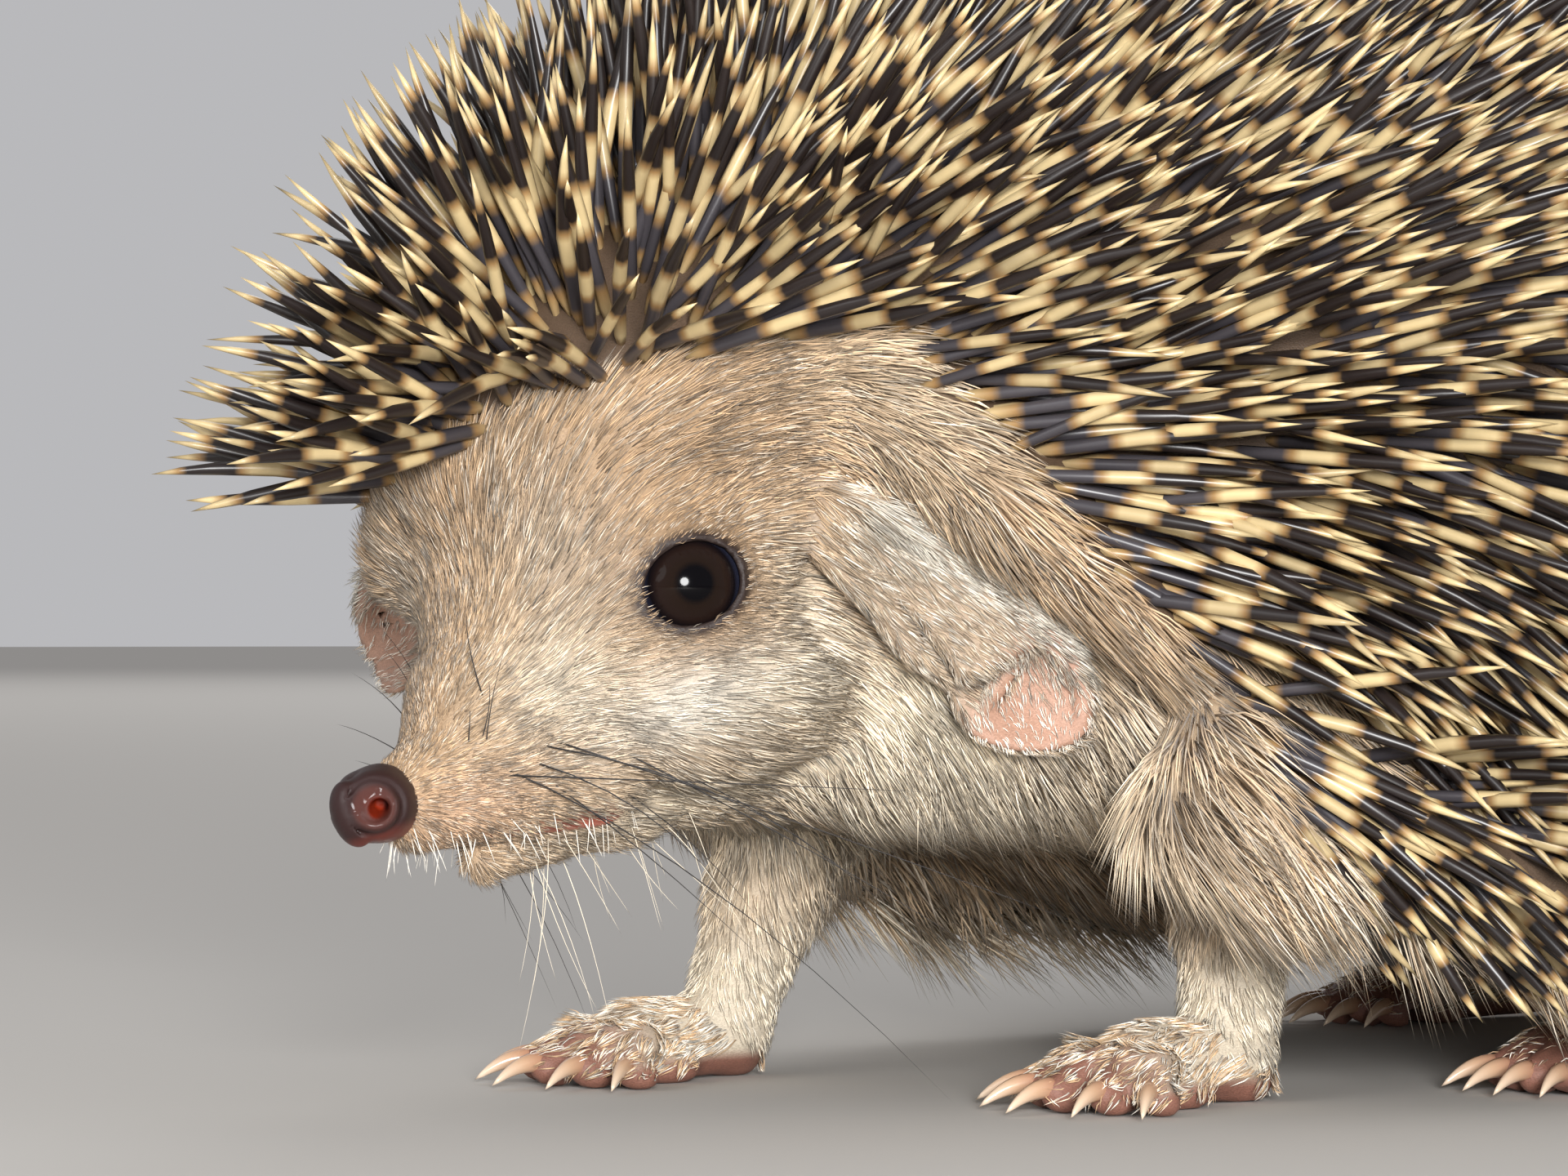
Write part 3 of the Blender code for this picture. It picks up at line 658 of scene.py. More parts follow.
def into_mantle(p):
    """How far each point lies inside the spines' edge, in millimetres; negative in the fur."""
    result = in_chunks(from_edge, p, 20000)
    forward, across, up = -p[:, 1], np.abs(p[:, 0]), p[:, 2]
    for side in (1, -1):
        low = np.array([(u, f) for f, _, u in (SIDE_EDGE + LOW_EDGE[side])[::-1]])
        here = (p[:, 0] * side > 0) & (up < 52) & (across > 18) & (forward < 13) & (forward > -24)
        behind_edge = np.sign(np.interp(up, low[:, 0], low[:, 1]) - forward)
        result = np.where(here, np.abs(result) * behind_edge, result)
    hem = np.array([(f, u) for f, _, u in HEM[::-1]])
    above_hem = np.sign(up - np.interp(forward, hem[:, 0], hem[:, 1]))
    result = np.where(forward < -24, np.abs(result) * above_hem, result)
    rim = np.interp(up, (10, 15, 21, 28, 35, 39, 44, 49, 53), (38, 37, 36, 34, 32, 30, 27, 23, 19))
    under = (across < rim - 1.5) & (p[:, 1] < 30) & (up < 53) & (to_head(p)[:, 2] < 10)
    belly = (across < 35) & (up < 22) & (p[:, 1] < 108)
    return np.where(under | belly, -np.maximum(np.abs(result), 3), result)


# Meshes.

def make_mesh(name, points, *groups):
    """A smooth mesh object from points in body millimetres and groups of equal-sized faces."""
    mesh = bpy.data.meshes.new(name)
    mesh.vertices.add(len(points))
    mesh.vertices.foreach_set("co", place(points).astype(np.float32).ravel())
    loops = np.concatenate([g.ravel() for g in groups])
    sizes = np.concatenate([np.full(len(g), g.shape[1]) for g in groups])
    mesh.loops.add(len(loops))
    mesh.loops.foreach_set("vertex_index", loops.astype(np.int32))
    mesh.polygons.add(len(sizes))
    mesh.polygons.foreach_set("loop_start", np.append(0, np.cumsum(sizes)[:-1]).astype(np.int32))
    mesh.polygons.foreach_set("use_smooth", np.full(len(sizes), True))
    mesh.update(calc_edges=True)
    return add_object(name, mesh)


def add_object(name, data):
    obj = bpy.data.objects.new(name, data)
    bpy.context.scene.collection.objects.link(obj)
    return obj


def paint(obj, name, values):
    """Stores a value or a colour at each corner point of the mesh."""
    values = np.asarray(values, np.float32)
    if values.ndim == 1:
        obj.data.attributes.new(name, "FLOAT", "POINT").data.foreach_set("value", values)
        return
    rgba = np.concatenate([values, np.ones((len(values), 1), np.float32)], 1)
    obj.data.attributes.new(name, "FLOAT_COLOR", "POINT").data.foreach_set("color", rgba.ravel())


def lay_out(obj, spots):
    """The OFBake map, one spot for each corner point."""
    mesh = obj.data
    layer = mesh.uv_layers.new(name="OFBake")
    corner = np.empty(len(mesh.loops), np.int32)
    mesh.loops.foreach_get("vertex_index", corner)
    layer.data.foreach_set("uv", spots[corner].astype(np.float32).ravel())


def finish_piece(obj, material, slot, *nodes):
    obj.data.materials.append(material)
    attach(obj, "root")
    if nodes:
        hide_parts(*nodes)


def unwrap(p):
    """Round the body and along it, each from 0 to 1."""
    middle = np.interp(-p[:, 1], (-130, -20, 30, 50), (45, 45, 38, 30))
    across = np.interp(-p[:, 1], (0, 22, 48), (0, 3.6, 8))
    around = np.arctan2(p[:, 0] - across, middle - p[:, 2]) / (2 * pi) + 0.5
    return np.stack([around, (p[:, 1] + 50) / 190], 1)


PATCH = 0.003                       # the side of a tuft's patch on the map
MAP_EDGE, MAP_ROOM = 0.01, 0.97     # where the patches start on the map, and the room they share


def map_spots(roots, sides, rings):
    """Each tuft's patch at its root's place, with the whole map filled by the piece's own roots."""
    uv = unwrap(roots)
    low, high = uv.min(0), uv.max(0)
    uv = MAP_EDGE + (uv - low) / np.maximum(high - low, 1e-6) * MAP_ROOM
    turn = np.tile(np.arange(sides) / sides, rings)
    rise = np.repeat(np.arange(rings) / rings, sides)
    patch = np.stack([np.append(turn, 0.5), np.append(rise, 1.0)], 1) * PATCH
    return (uv[:, None] + patch[None]).reshape(-1, 2)


FLOOR_GAP = 0.3                     # how far off the floor the middle line of a hair or a spine stays
SKIM = 0.05                         # and its surface


def sweep(name, paths, radii, sides, up, along, flat=1.0, **painted):
    """Closed tapered tufts along paths of (count, rings + 1, 3) points, the last one being the tip.

    Every tuft gets the same values of along, one for each of its path's points, and its own of the others.
    """
    count, rings = paths.shape[0], paths.shape[1] - 1
    paths[:, :, 2] = np.maximum(paths[:, :, 2], FLOOR_GAP)
    ahead = np.gradient(paths, axis=1)[:, :rings]
    across = unit(np.cross(ahead, up[:, None]))
    above = unit(np.cross(across, ahead))
    turn = 2 * pi * np.arange(sides) / sides
    wide = across[:, :, None] * np.cos(turn)[:, None] + above[:, :, None] * np.sin(turn)[:, None] * flat
    hoops = paths[:, :rings, None] + wide * radii[:, :, None, None]
    points = np.concatenate([hoops.reshape(count, -1, 3), paths[:, -1:]], 1)
    points[:, :, 2] = np.maximum(points[:, :, 2], SKIM)
    each = rings * sides + 1
    base = (np.arange(count) * each)[:, None, None]
    k = np.arange(sides)
    n = (k + 1) % sides
    strips = [np.stack([k, n, n + sides, k + sides], 1) + r * sides for r in range(rings - 1)]
    tips = np.stack([k, n, np.full(sides, sides)], 1) + (rings - 1) * sides
    groups = [np.concatenate(strips), tips, k[None, ::-1]]
    obj = make_mesh(name, points.reshape(-1, 3), *[(g[None] + base).reshape(-1, g.shape[1]) for g in groups])
    lay_out(obj, map_spots(paths[:, 0], sides, rings))
    paint(obj, "along", np.tile(np.append(np.repeat(along[:-1], sides), along[-1]), count))
    for attribute_name, values in painted.items():
        paint(obj, attribute_name, np.repeat(values, each, 0))
    return obj


def scatter(points, quads, weight, count, rng):
    """Random points over quads: how many each gets goes by its area times its weight."""
    tri = np.concatenate([quads[:, [0, 1, 2]], quads[:, [0, 2, 3]]])
    a, b, c = points[tri].transpose(1, 0, 2)
    area = norm(np.cross(b - a, c - a)) / 2 * np.tile(weight, 2)
    pick = rng.choice(len(tri), count, p=area / area.sum())
    u, v = rng.random(count), rng.random(count)
    over = u + v > 1
    u[over], v[over] = 1 - u[over], 1 - v[over]
    return a[pick] + (b - a)[pick] * u[:, None] + (c - a)[pick] * v[:, None]


def close_by(cells, x, y, z):
    """What lies in a cell and in the ones round it."""
    around = product((x - 1, x, x + 1), (y - 1, y, y + 1), (z - 1, z, z + 1))
    return [n for key in around for n in cells.get(key, ())]


def cell_keys(points, size):
    return enumerate(np.floor(points / size).astype(int).tolist())


def thin_out(points, gap):
    """The points left when none is nearer than the gap to one before it, by number and by cell."""
    chosen, cells = [], {}
    limits = np.broadcast_to(gap, len(points)) ** 2
    for n, (x, y, z) in cell_keys(points, float(np.max(gap))):
        near = close_by(cells, x, y, z)
        if (((points[near] - points[n]) ** 2).sum(1) >= limits[n]).all():
            cells.setdefault((x, y, z), []).append(n)
            chosen.append(n)
    return np.array(chosen), cells


# Spines.

CROWN = (-0.5, 4.5, 15.8)           # the spines fan out from the line between this and its mirror image
SPINE_LENGTH = 18.5
SPINE_RADIUS = 0.52
SPINE_SIDES = 6
SPINE_GAP = (1.1, 1.4)              # between the roots of neighbours, on the brow and elsewhere
SPINE_PROFILE = np.array([(0.0, 0.45), (0.1, 0.9), (0.5, 1.0), (0.72, 0.84), (0.88, 0.48)])   # place, width
SPINE_TRIES = 80000                 # the points that the roots are thinned from
# The stretch of the back that each piece covers, toward the rear.
SPINE_PIECES = {"brow": (-100, -16), "shoulder": (-16, 30), "back": (30, 78), "rump": (78, 200)}


def spine_ways(roots, normals, rng):
    """Which way each spine points and its length."""
    q = to_head(roots)
    up = roots[:, 2]
    centre = np.stack([np.full(len(q), CROWN[0]), np.clip(q[:, 1], -CROWN[1], CROWN[1]),
                       np.full(len(q), CROWN[2])], 1)
    away = (q - centre) @ HEAD_AXES
    distance = norm(away)
    flow = along_skin(away, normals)
    low = step(60, 20, up)
    front = step(-1, 8, q[:, 0]) * step(20, 10, np.abs(q[:, 1]))
    far = 0.8 * step(40, 100, distance)[:, None]
    flow = flow * (1 - far) + body(-0.8, 0, -0.6) * far
    flow[:, 2] += 0.42 * front - 0.75 * low * step(20, 45, distance)
    edge = step(9, 2, into_mantle(roots)) * step(13, 20, np.abs(roots[:, 0])) * step(60, 50, up)
    flow += body(-0.9, 0, -0.35) * edge[:, None]
    flow = along_skin(flow, normals)
    lean = np.interp(distance, (0, 5, 12, 25, 45, 80, 130), (8, 16, 30, 42, 52, 59, 62))
    lean = radians(1) * (lean + 20 * edge + rng.normal(0, 6, len(roots)))
    sway = rng.normal(0, 1, roots.shape) * np.interp(distance, (0, 15, 40), (0.24, 0.18, 0.12))[:, None]
    sway *= 1 - 0.4 * edge[:, None]
    way = unit(flow * np.sin(lean)[:, None] + normals * np.cos(lean)[:, None] + sway)
    length = SPINE_LENGTH * rng.uniform(0.82, 1.08, len(roots))
    length *= 1 - 0.35 * step(30, 11, up)
    length *= 1 - 0.4 * step(26, 16, up) * (roots[:, 0] < 0)
    length *= 1 - 0.12 * front
    return way, length


def make_spines(name, roots, normals, rng):
    way, length = spine_ways(roots, normals, rng)
    count = len(roots)
    stops = np.append(SPINE_PROFILE[:, 0], 1.0)
    sag = unit(np.cross(np.cross(way, normals), way)) * rng.uniform(-0.02, 0.05, (count, 1))
    start = roots - normals * 0.6
    paths = start[:, None] + (way * length[:, None])[:, None] * stops[None, :, None]
    paths += (sag * length[:, None])[:, None] * (stops * (1 - stops) * 4)[None, :, None]
    radii = SPINE_RADIUS * SPINE_PROFILE[None, :, 1] * rng.uniform(0.85, 1.1, (count, 1))
    obj = sweep(name, paths, radii, SPINE_SIDES, normals, stops,
                tone=rng.random(count), shift=rng.normal(0, 1, count))
    finish_piece(obj, spine_material(), "spines")


def grow_spines(points, quads, inside, rng):
    """The spines in four pieces, from the brow to the rump."""
    weight = (inside > 0.3)[quads].all(1).astype(float)
    roots = scatter(points, quads, weight, SPINE_TRIES, rng)
    gap = np.interp(roots[:, 1], (-18, 4), SPINE_GAP) * rng.uniform(0.9, 1.1, len(roots))
    roots = roots[thin_out(roots, gap)[0]]
    normals = unit(gradient(skin_field, roots, 0.8))
    for name, (start, end) in SPINE_PIECES.items():
        here = (roots[:, 1] >= start) & (roots[:, 1] < end)
        make_spines("spines_" + name, roots[here], normals[here], rng)


# Hair.

# Guides on the head: where, which way the hair lies, its length. Head axes; the right side mirrors the left.
HEAD_GUIDES = [
    ((24, 2.0, -5), (-1, 0.15, 0.1), 0.9), ((20, 0, -4), (-1, 0, 0.2), 1.3),
    ((20, 3, -7), (-1, 0.2, -0.15), 1.4), ((21, 1, -10), (-0.6, 0.2, -0.8), 1.5),
    ((15, 0, -1.5), (-1, 0, 0.5), 1.8), ((15, 4.5, -6), (-1, 0.2, 0.05), 1.8),
    ((14, 4, -10.5), (-1, 0.2, -0.5), 2.0), ((11, 0, 3.5), (-0.6, 0, 1), 2.8),
    ((11, 6, 0), (-1, 0.35, 0.6), 2.6), ((9, 7, -6), (-1, 0.3, -0.1), 2.8),
    ((7, 5, -12), (-1, 0.2, -0.5), 3.0), ((9, 0, 9), (-0.4, 0, 1), 3.4),
    ((9, 5, 8), (-0.5, 0.35, 1), 3.4), ((6, 8, 4), (-0.8, 0.4, 0.6), 2.6),
    ((5, 5, 12), (-0.6, 0.4, 0.7), 3.8), ((1, 8, 10), (-1, 0.5, 0.3), 3.8),
    ((4, 11, 3), (-0.9, 0.4, 0.45), 1.9), ((0, 12, 5), (-1, 0.3, 0.25), 2.2),
    ((-4, 12, 7), (-1, 0.3, 0), 3.6), ((6, 9, -3), (-1, 0.4, -0.1), 2.0),
    ((1, 12, -5), (-1, 0.2, -0.4), 2.6), ((-5, 13, 0), (-1, 0.1, -0.35), 3.4),
    ((-3, 12, -8), (-1, 0.1, -0.45), 4.2), ((0, 8, -13), (-1, 0.1, -0.5), 4.4),
    ((-10, 13, -4), (-0.7, 0.1, -0.8), 4.6), ((-12, 12, -11), (-0.6, 0.1, -0.9), 5.0),
    ((-7, 9, 12), (-1, 0.5, -0.2), 4.6), ((0, 0, -16), (-0.9, 0, -0.4), 4.0),
    ((12, 0, -14), (-0.9, 0, -0.5), 2.4), ((-12, 5, -15), (-0.6, 0.1, -0.7), 5.5)]
# Guides on the body, in body (forward, left, up), mirrored too.
BODY_GUIDES = [
    ((6, 17, 52), (-0.8, 0.35, -0.3), 5.5), ((3, 22, 47), (-0.7, 0.3, -0.6), 6.5),
    ((0, 27, 41), (-0.65, 0.45, -0.7), 7.5), ((-4, 31, 34), (-0.7, 0.5, -0.7), 8.5),
    ((-8, 34, 27), (-0.5, 0.6, -0.8), 9.5), ((-5, 27, 26), (-0.2, 0.6, -0.9), 8),
    ((-14, 36, 21), (-0.8, 0.3, -0.65), 10), ((4, 16, 38), (-0.6, 0.2, -0.8), 6.0),
    ((2, 15, 28), (-0.4, 0.15, -1), 6.5), ((2, 6, 20), (-0.6, 0.1, -0.6), 6.5),
    ((-8, 20, 22), (-0.4, 0.1, -1), 7.5), ((-8, 0, 16), (-0.7, 0.05, -0.5), 7.0),
    ((-20, 24, 20), (-0.5, 0.2, -0.9), 8.0), ((-30, 0, 12), (-1, 0.05, -0.25), 8.0),
    ((-30, 30, 16), (-0.7, 0.25, -0.7), 9.0), ((-60, 0, 10), (-1, 0.05, -0.2), 8.0),
    ((-60, 34, 15), (-0.75, 0.2, -0.6), 9.0), ((-95, 0, 12), (-1, 0.05, 0), 7.0),
    ((-95, 30, 16), (-0.8, 0.1, -0.5), 8.0), ((-118, 0, 18), (-0.9, 0, -0.5), 6.0)]


def guide_table():
    rows = []
    for guides, on_head in ((HEAD_GUIDES, True), (BODY_GUIDES, False)):
        for at, way, length in guides:
            for side in (1, -1) if at[1] else (1,):
                a, w = [np.array(v, float) * (1, side, 1) for v in (at, way)]
                if on_head:
                    rows.append((from_head(a), w @ HEAD_AXES, length))
                else:
                    rows.append((body(*a), body(*w), length))
    at, way, length = [np.array(column, float) for column in zip(*rows)]
    return at, unit(way), length


GUIDE_AT, GUIDE_WAY, GUIDE_LENGTH = guide_table()


def guided(p):
    """The guides' ways and lengths mixed at each point, the nearest ones counting most."""
    square = ((p[:, None] - GUIDE_AT[None]) ** 2).sum(-1)
    weight = 1 / (square + 1.5) ** 2
    weight /= weight.sum(1, keepdims=True)
    return np.column_stack([weight @ GUIDE_WAY, weight @ GUIDE_LENGTH])


def comb(p, normals):
    """The lie and length of the hair at points of the head and trunk."""
    mixed = in_chunks(guided, p, 40000)
    return along_skin(mixed[:, :3], normals), mixed[:, 3]


def along_skin(ways, normals):
    return unit(ways - (ways * normals).sum(1, keepdims=True) * normals)


def clump(roots, ends, spacing, pull, rng):
    """Draws the tips of neighbouring tufts together; also says which tuft each one follows."""
    _, cells = thin_out(roots, spacing)
    owner = np.arange(len(roots))
    for n, (x, y, z) in cell_keys(roots, spacing):
        near = close_by(cells, x, y, z)
        owner[n] = near[((roots[near] - roots[n]) ** 2).sum(1).argmin()]
    share = pull * rng.uniform(0.4, 1, (len(roots), 1))
    return ends + (roots[owner] + (ends - roots)[owner] - ends) * share, owner


def clear_skin(points, normals, least):
    """Lifts points of the hair to stand at least so far off the skin."""
    short = np.maximum(least - in_chunks(skin_field, points), 0)
    return points + normals * np.minimum(short, 3)[:, None]


def make_hair(name, roots, normals, ways, lengths, rng, width=0.17, lift=18, rings=2, spacing=1.1, pull=0.45,
              droop=0.0, slot="fur", colour=None, messy=0.16, ticking=0.12):
    """A coat piece of closed tapered tufts lying along the skin."""
    count = len(roots)
    ways = along_skin(ways + rng.normal(0, messy, ways.shape), normals)
    rise = radians(1) * np.clip(lift + rng.normal(0, 6, count), 3, 80)
    first = ways * np.cos(rise)[:, None] + normals * np.sin(rise)[:, None]
    length = lengths * rng.uniform(0.7, 1.2, count)
    ends = roots + first * length[:, None]
    ends += (-normals * np.sin(rise)[:, None] * 0.35 + np.array([0, 0, -droop])) * length[:, None]
    ends, owner = clump(roots, ends, spacing, pull, rng)
    middle = clear_skin(roots + first * length[:, None] * 0.5, normals, 0.4)
    ends = clear_skin(ends, normals, 0.3)
    start = roots - normals * 0.25
    along = np.linspace(0, 1, rings + 1)
    t = along[None, :, None]
    paths = (1 - t) ** 2 * start[:, None] + 2 * t * (1 - t) * middle[:, None] + t * t * ends[:, None]
    taper = 1 - along[:-1] ** 1.5
    radii = np.asarray(width)[..., None] / 2 * taper[None] * rng.uniform(0.75, 1.25, (count, 1))
    if colour is None:
        colour = coat_colour(roots)
    shade = (rng.normal(1, 0.2, (count, 1)) * rng.normal(1, 0.15, (count, 1))[owner]).clip(0.45, 1.4)
    shade *= np.where(rng.random((count, 1)) < ticking, rng.uniform(0.3, 0.65, (count, 1)), 1)
    colour = colour + (WHITE - colour) * 0.45 * (rng.random((count, 1)) < 0.2)
    obj = sweep(name, paths, radii, 3, normals, along, 0.7, coat=colour * shade)
    finish_piece(obj, hair_material(), slot)


# Materials.

def node(tree, kind, inputs=(), **settings):
    made = tree.nodes.new(kind)
    for key, value in settings.items():
        setattr(made, key, value)
    for socket, value in dict(inputs).items():
        made.inputs[socket].default_value = value
    return made


def new_material(name, surface):
    """A material and its shader, with the surface's values by socket."""
    material = bpy.data.materials.new(name)
    material.use_nodes = True
    tree = material.node_tree
    shader = tree.nodes["Principled BSDF"]
    for socket, value in surface.items():
        shader.inputs[socket].default_value = value
    return material, tree, shader


def attribute(tree, name):
    return node(tree, "ShaderNodeAttribute", attribute_name=name)


def ramp(tree, source, stops):
    made = node(tree, "ShaderNodeValToRGB")
    elements = made.color_ramp.elements
    while len(elements) < len(stops):
        elements.new(1.0)
    for element, (at, colour) in zip(elements, stops):
        element.position = at
        element.color = (*colour, 1)
    tree.links.new(source, made.inputs["Fac"])
    return made.outputs["Color"]


def multiply(tree, a, b):
    made = node(tree, "ShaderNodeMix", {0: 1.0}, data_type="RGBA", blend_type="MULTIPLY")
    tree.links.new(a, made.inputs[6])
    tree.links.new(b, made.inputs[7])
    return made.outputs[2]


def add_bump(tree, shader, height, distance):
    bump = node(tree, "ShaderNodeBump", {"Strength": 0.35, "Distance": distance})
    tree.links.new(height, bump.inputs["Height"])
    tree.links.new(bump.outputs["Normal"], shader.inputs["Normal"])


@cache
def hair_material():
    """Hair: darker at the root as painted shade deep in the coat, paler toward the tip."""
    material, tree, shader = new_material("hair", {
        "Roughness": 0.5, "Specular IOR Level": 0.35, "Sheen Weight": 0.15, "Sheen Roughness": 0.5})
    # painted shade: the roots are darkened where the coat shades itself
    painted_root_shade = ramp(tree, attribute(tree, "along").outputs["Fac"], [
        (0.0, (0.5, 0.44, 0.38)), (0.4, (0.98, 0.97, 0.95)), (1.0, (1.06, 1.05, 1.02))])
    colour = multiply(tree, attribute(tree, "coat").outputs["Color"], painted_root_shade)
    tree.links.new(colour, shader.inputs["Base Color"])
    return material


@cache
def spine_material():
    """Banded horn with a cream point; the bands lie a little higher or lower on each spine."""
    material, tree, shader = new_material("spine", {"Roughness": 0.34, "Specular IOR Level": 0.5})
    moved = node(tree, "ShaderNodeMath", {1: 0.035}, operation="MULTIPLY_ADD")
    tree.links.new(attribute(tree, "shift").outputs["Fac"], moved.inputs[0])
    tree.links.new(attribute(tree, "along").outputs["Fac"], moved.inputs[2])
    cream, honey = srgb(203, 182, 138), srgb(150, 118, 77)
    dark, slate = srgb(34, 27, 26), srgb(66, 63, 68)
    bands = ramp(tree, moved.outputs[0], [
        (0.0, cream), (0.13, honey), (0.17, slate), (0.34, slate), (0.38, honey), (0.42, cream),
        (0.53, cream), (0.57, honey), (0.6, dark), (0.79, dark), (0.825, honey), (0.87, cream), (1.0, cream)])
    brightness = ramp(tree, attribute(tree, "tone").outputs["Fac"], [
        (0.0, (0.72, 0.7, 0.68)), (1.0, (1.1, 1.08, 1.04))])
    tree.links.new(multiply(tree, bands, brightness), shader.inputs["Base Color"])
    return material


def skin_material():
    material, tree, shader = new_material("skin", {"Roughness": 0.55})
    noise = node(tree, "ShaderNodeTexNoise", {"Scale": 900, "Detail": 4})
    speckle = ramp(tree, noise.outputs["Fac"], [(0.3, (0.7, 0.67, 0.64)), (0.7, (1.06, 1.04, 1.02))])
    colour = multiply(tree, attribute(tree, "coat").outputs["Color"], speckle)
    tree.links.new(colour, shader.inputs["Base Color"])
    add_bump(tree, shader, noise.outputs["Fac"], 0.0002)
    return material


def nose_material():
    material, tree, shader = new_material("nose", {
        "Roughness": 0.38, "Specular IOR Level": 0.25, "Coat Weight": 0.12, "Coat Roughness": 0.1})
    pebble = node(tree, "ShaderNodeTexVoronoi", {"Scale": 5200})
    add_bump(tree, shader, pebble.outputs["Distance"], 0.0001)
    tree.links.new(attribute(tree, "coat").outputs["Color"], shader.inputs["Base Color"])
    return material


@cache
def eye_material():
    """Near black, with a dark brown iris round the pupil and a bluish rim."""
    material, tree, shader = new_material("eye", {
        "Roughness": 0.1, "Coat Weight": 0.1, "Coat Roughness": 0.02, "Specular IOR Level": 0.06})
    black, brown, rim = srgb(5, 4, 6), srgb(26, 17, 12), srgb(40, 42, 58)
    colour = ramp(tree, attribute(tree, "radial").outputs["Fac"], [
        (0.0, black), (0.26, black), (0.36, brown), (0.58, srgb(30, 20, 17)), (0.7, srgb(14, 11, 14)),
        (0.8, rim), (1.0, rim)])
    tree.links.new(colour, shader.inputs["Base Color"])
    return material


@cache
def claw_material():
    material, tree, shader = new_material("claw", {"Roughness": 0.25, "Coat Weight": 0.4})
    colour = ramp(tree, attribute(tree, "along").outputs["Fac"], [
        (0.0, srgb(164, 116, 92)), (0.4, srgb(192, 156, 126)), (1.0, srgb(220, 200, 176))])
    tree.links.new(colour, shader.inputs["Base Color"])
    return material


# The pieces.

FLESH = ["head", "lower_jaw", "neck", "chest", "belly", "tail"]
FLESH += [stretch + "_spines" for stretch in SPINE_PIECES]
PAIRED = ("ear", "foreleg", "forefoot", "hindleg", "hindfoot")
FLESH += [part + side for part in PAIRED for side in ("_left", "_right")]


def side_name(side):
    return "left" if side > 0 else "right"


def skin_axes():
    """Grid stops across, along and up, finest at the near side of the face, the ear and the toes."""
    return [grid_axis((-50, -30, 1.8), (-30, -14, 0.95), (-14, 20, 0.41), (20, 30, 0.5), (30, 50, 1.8)),
            grid_axis((-53, -14, 0.41), (-14, 8, 0.62), (8, 142, 2.5)),
            grid_axis((-1.2, 7, 0.55), (7, 20, 1.1), (20, 46, 0.4), (46, 60, 1.1), (60, 92, 2.2))]


def fur_in_front(points, inside):
    """Where the roll of skin beside the neck faces forward, it's furred, not spined."""
    beside = (np.abs(points[:, 0]) > 18) & (points[:, 1] < 20) & (points[:, 2] < 50) & (points[:, 2] > 22)
    near = beside & (inside > 0) & (inside < 7)
    normals = unit(gradient(skin_field, points[near], 0.8))
    front = normals @ body(1, 0, 0) > 0.32
    inside[near] = np.where(front, -1.0, inside[near])
    return inside


def make_skin():
    points, quads = nets(skin_field, skin_axes())
    points[:, 2] = np.maximum(points[:, 2], 0)
    inside = fur_in_front(points, into_mantle(points))
    colour = bare_parts(points, coat_colour(points) * SKIN_SHADE)
    obj = make_mesh("skin", points, quads)
    paint(obj, "coat", toward(colour, SPINE_SKIN, step(-1.0, 2.5, inside)))
    lay_out(obj, unwrap(points))
    finish_piece(obj, skin_material(), "fur", *FLESH)
    return points, quads, inside


EYE_RINGS, EYE_SIDES = 40, 64
EYE_GAP = 0.02                      # between the eyeball and its socket's radius


def make_eye(side):
    """The eyeball with its iris and pupil behind a clear bulge, as one glossy ball."""
    look, centre = LOOK * (1, side, 1), EYE_AT * (1, side, 1)
    wide = unit(np.cross((0, 0, 1), look))
    high = np.cross(look, wide)
    angle = (pi * np.arange(1, EYE_RINGS) / EYE_RINGS)[:, None, None]
    turn = (2 * pi * np.arange(EYE_SIDES) / EYE_SIDES)[:, None]
    hoops = look * np.cos(angle) + (wide * np.cos(turn) + high * np.sin(turn)) * np.sin(angle)
    points = np.concatenate([hoops.reshape(-1, 3), [look, -look]]) * (EYE_RADIUS - EYE_GAP)
    k = np.arange(EYE_SIDES)
    n = (k + 1) % EYE_SIDES
    strip = np.stack([n, k, k + EYE_SIDES, n + EYE_SIDES], 1)
    quads = np.concatenate([strip + r * EYE_SIDES for r in range(EYE_RINGS - 2)])
    front, last = len(points) - 2, (EYE_RINGS - 2) * EYE_SIDES
    caps = np.concatenate([np.stack([k, n, np.full(EYE_SIDES, front)], 1),
                           np.stack([n + last, k + last, np.full(EYE_SIDES, front + 1)], 1)])
    obj = make_mesh("eyeball_" + side_name(side), from_head(points + centre), quads, caps)
    axial = points @ look
    paint(obj, "radial", np.where(axial > 0, norm(points - axial[:, None] * look) / EYE_RADIUS, 1.5))
    finish_piece(obj, eye_material(), "eye", "eye_" + side_name(side))


def make_nose():
    axes = [np.arange(-4.3, 4.9, 0.13), np.arange(-4.2, 4.2, 0.13), np.arange(-3.6, 3.6, 0.13)]
    points, quads = nets(nose_field, [at + stops for at, stops in zip(NOSE_AT, axes)], 1)
    m = mirrored(points - NOSE_AT)
    axial, flat = in_wing(m)
    radial = norm(flat)
    deep = step(0.95, 0.55, radial) * step(1.9, 1.4, axial)
    lip = step(1.7, 1.2, radial) * (axial > 0)
    low = step(-1.2, -2.4, m[:, 2])
    colour = np.repeat(srgb(46, 27, 26)[None], len(m), 0)
    shares = ((srgb(88, 46, 38), lip * 0.6), (srgb(128, 56, 42), low * 0.6), (srgb(140, 42, 18), deep))
    for tone, share in shares:
        colour = toward(colour, tone, share)
    obj = make_mesh("nose_skin", from_head(points), quads)
    paint(obj, "coat", colour)
    finish_piece(obj, nose_material(), "nose_skin", "nose")


CLAW_LENGTH, CLAW_RADIUS, CLAW_SIDES, CLAW_RINGS = 4.4, 0.62, 10, 8


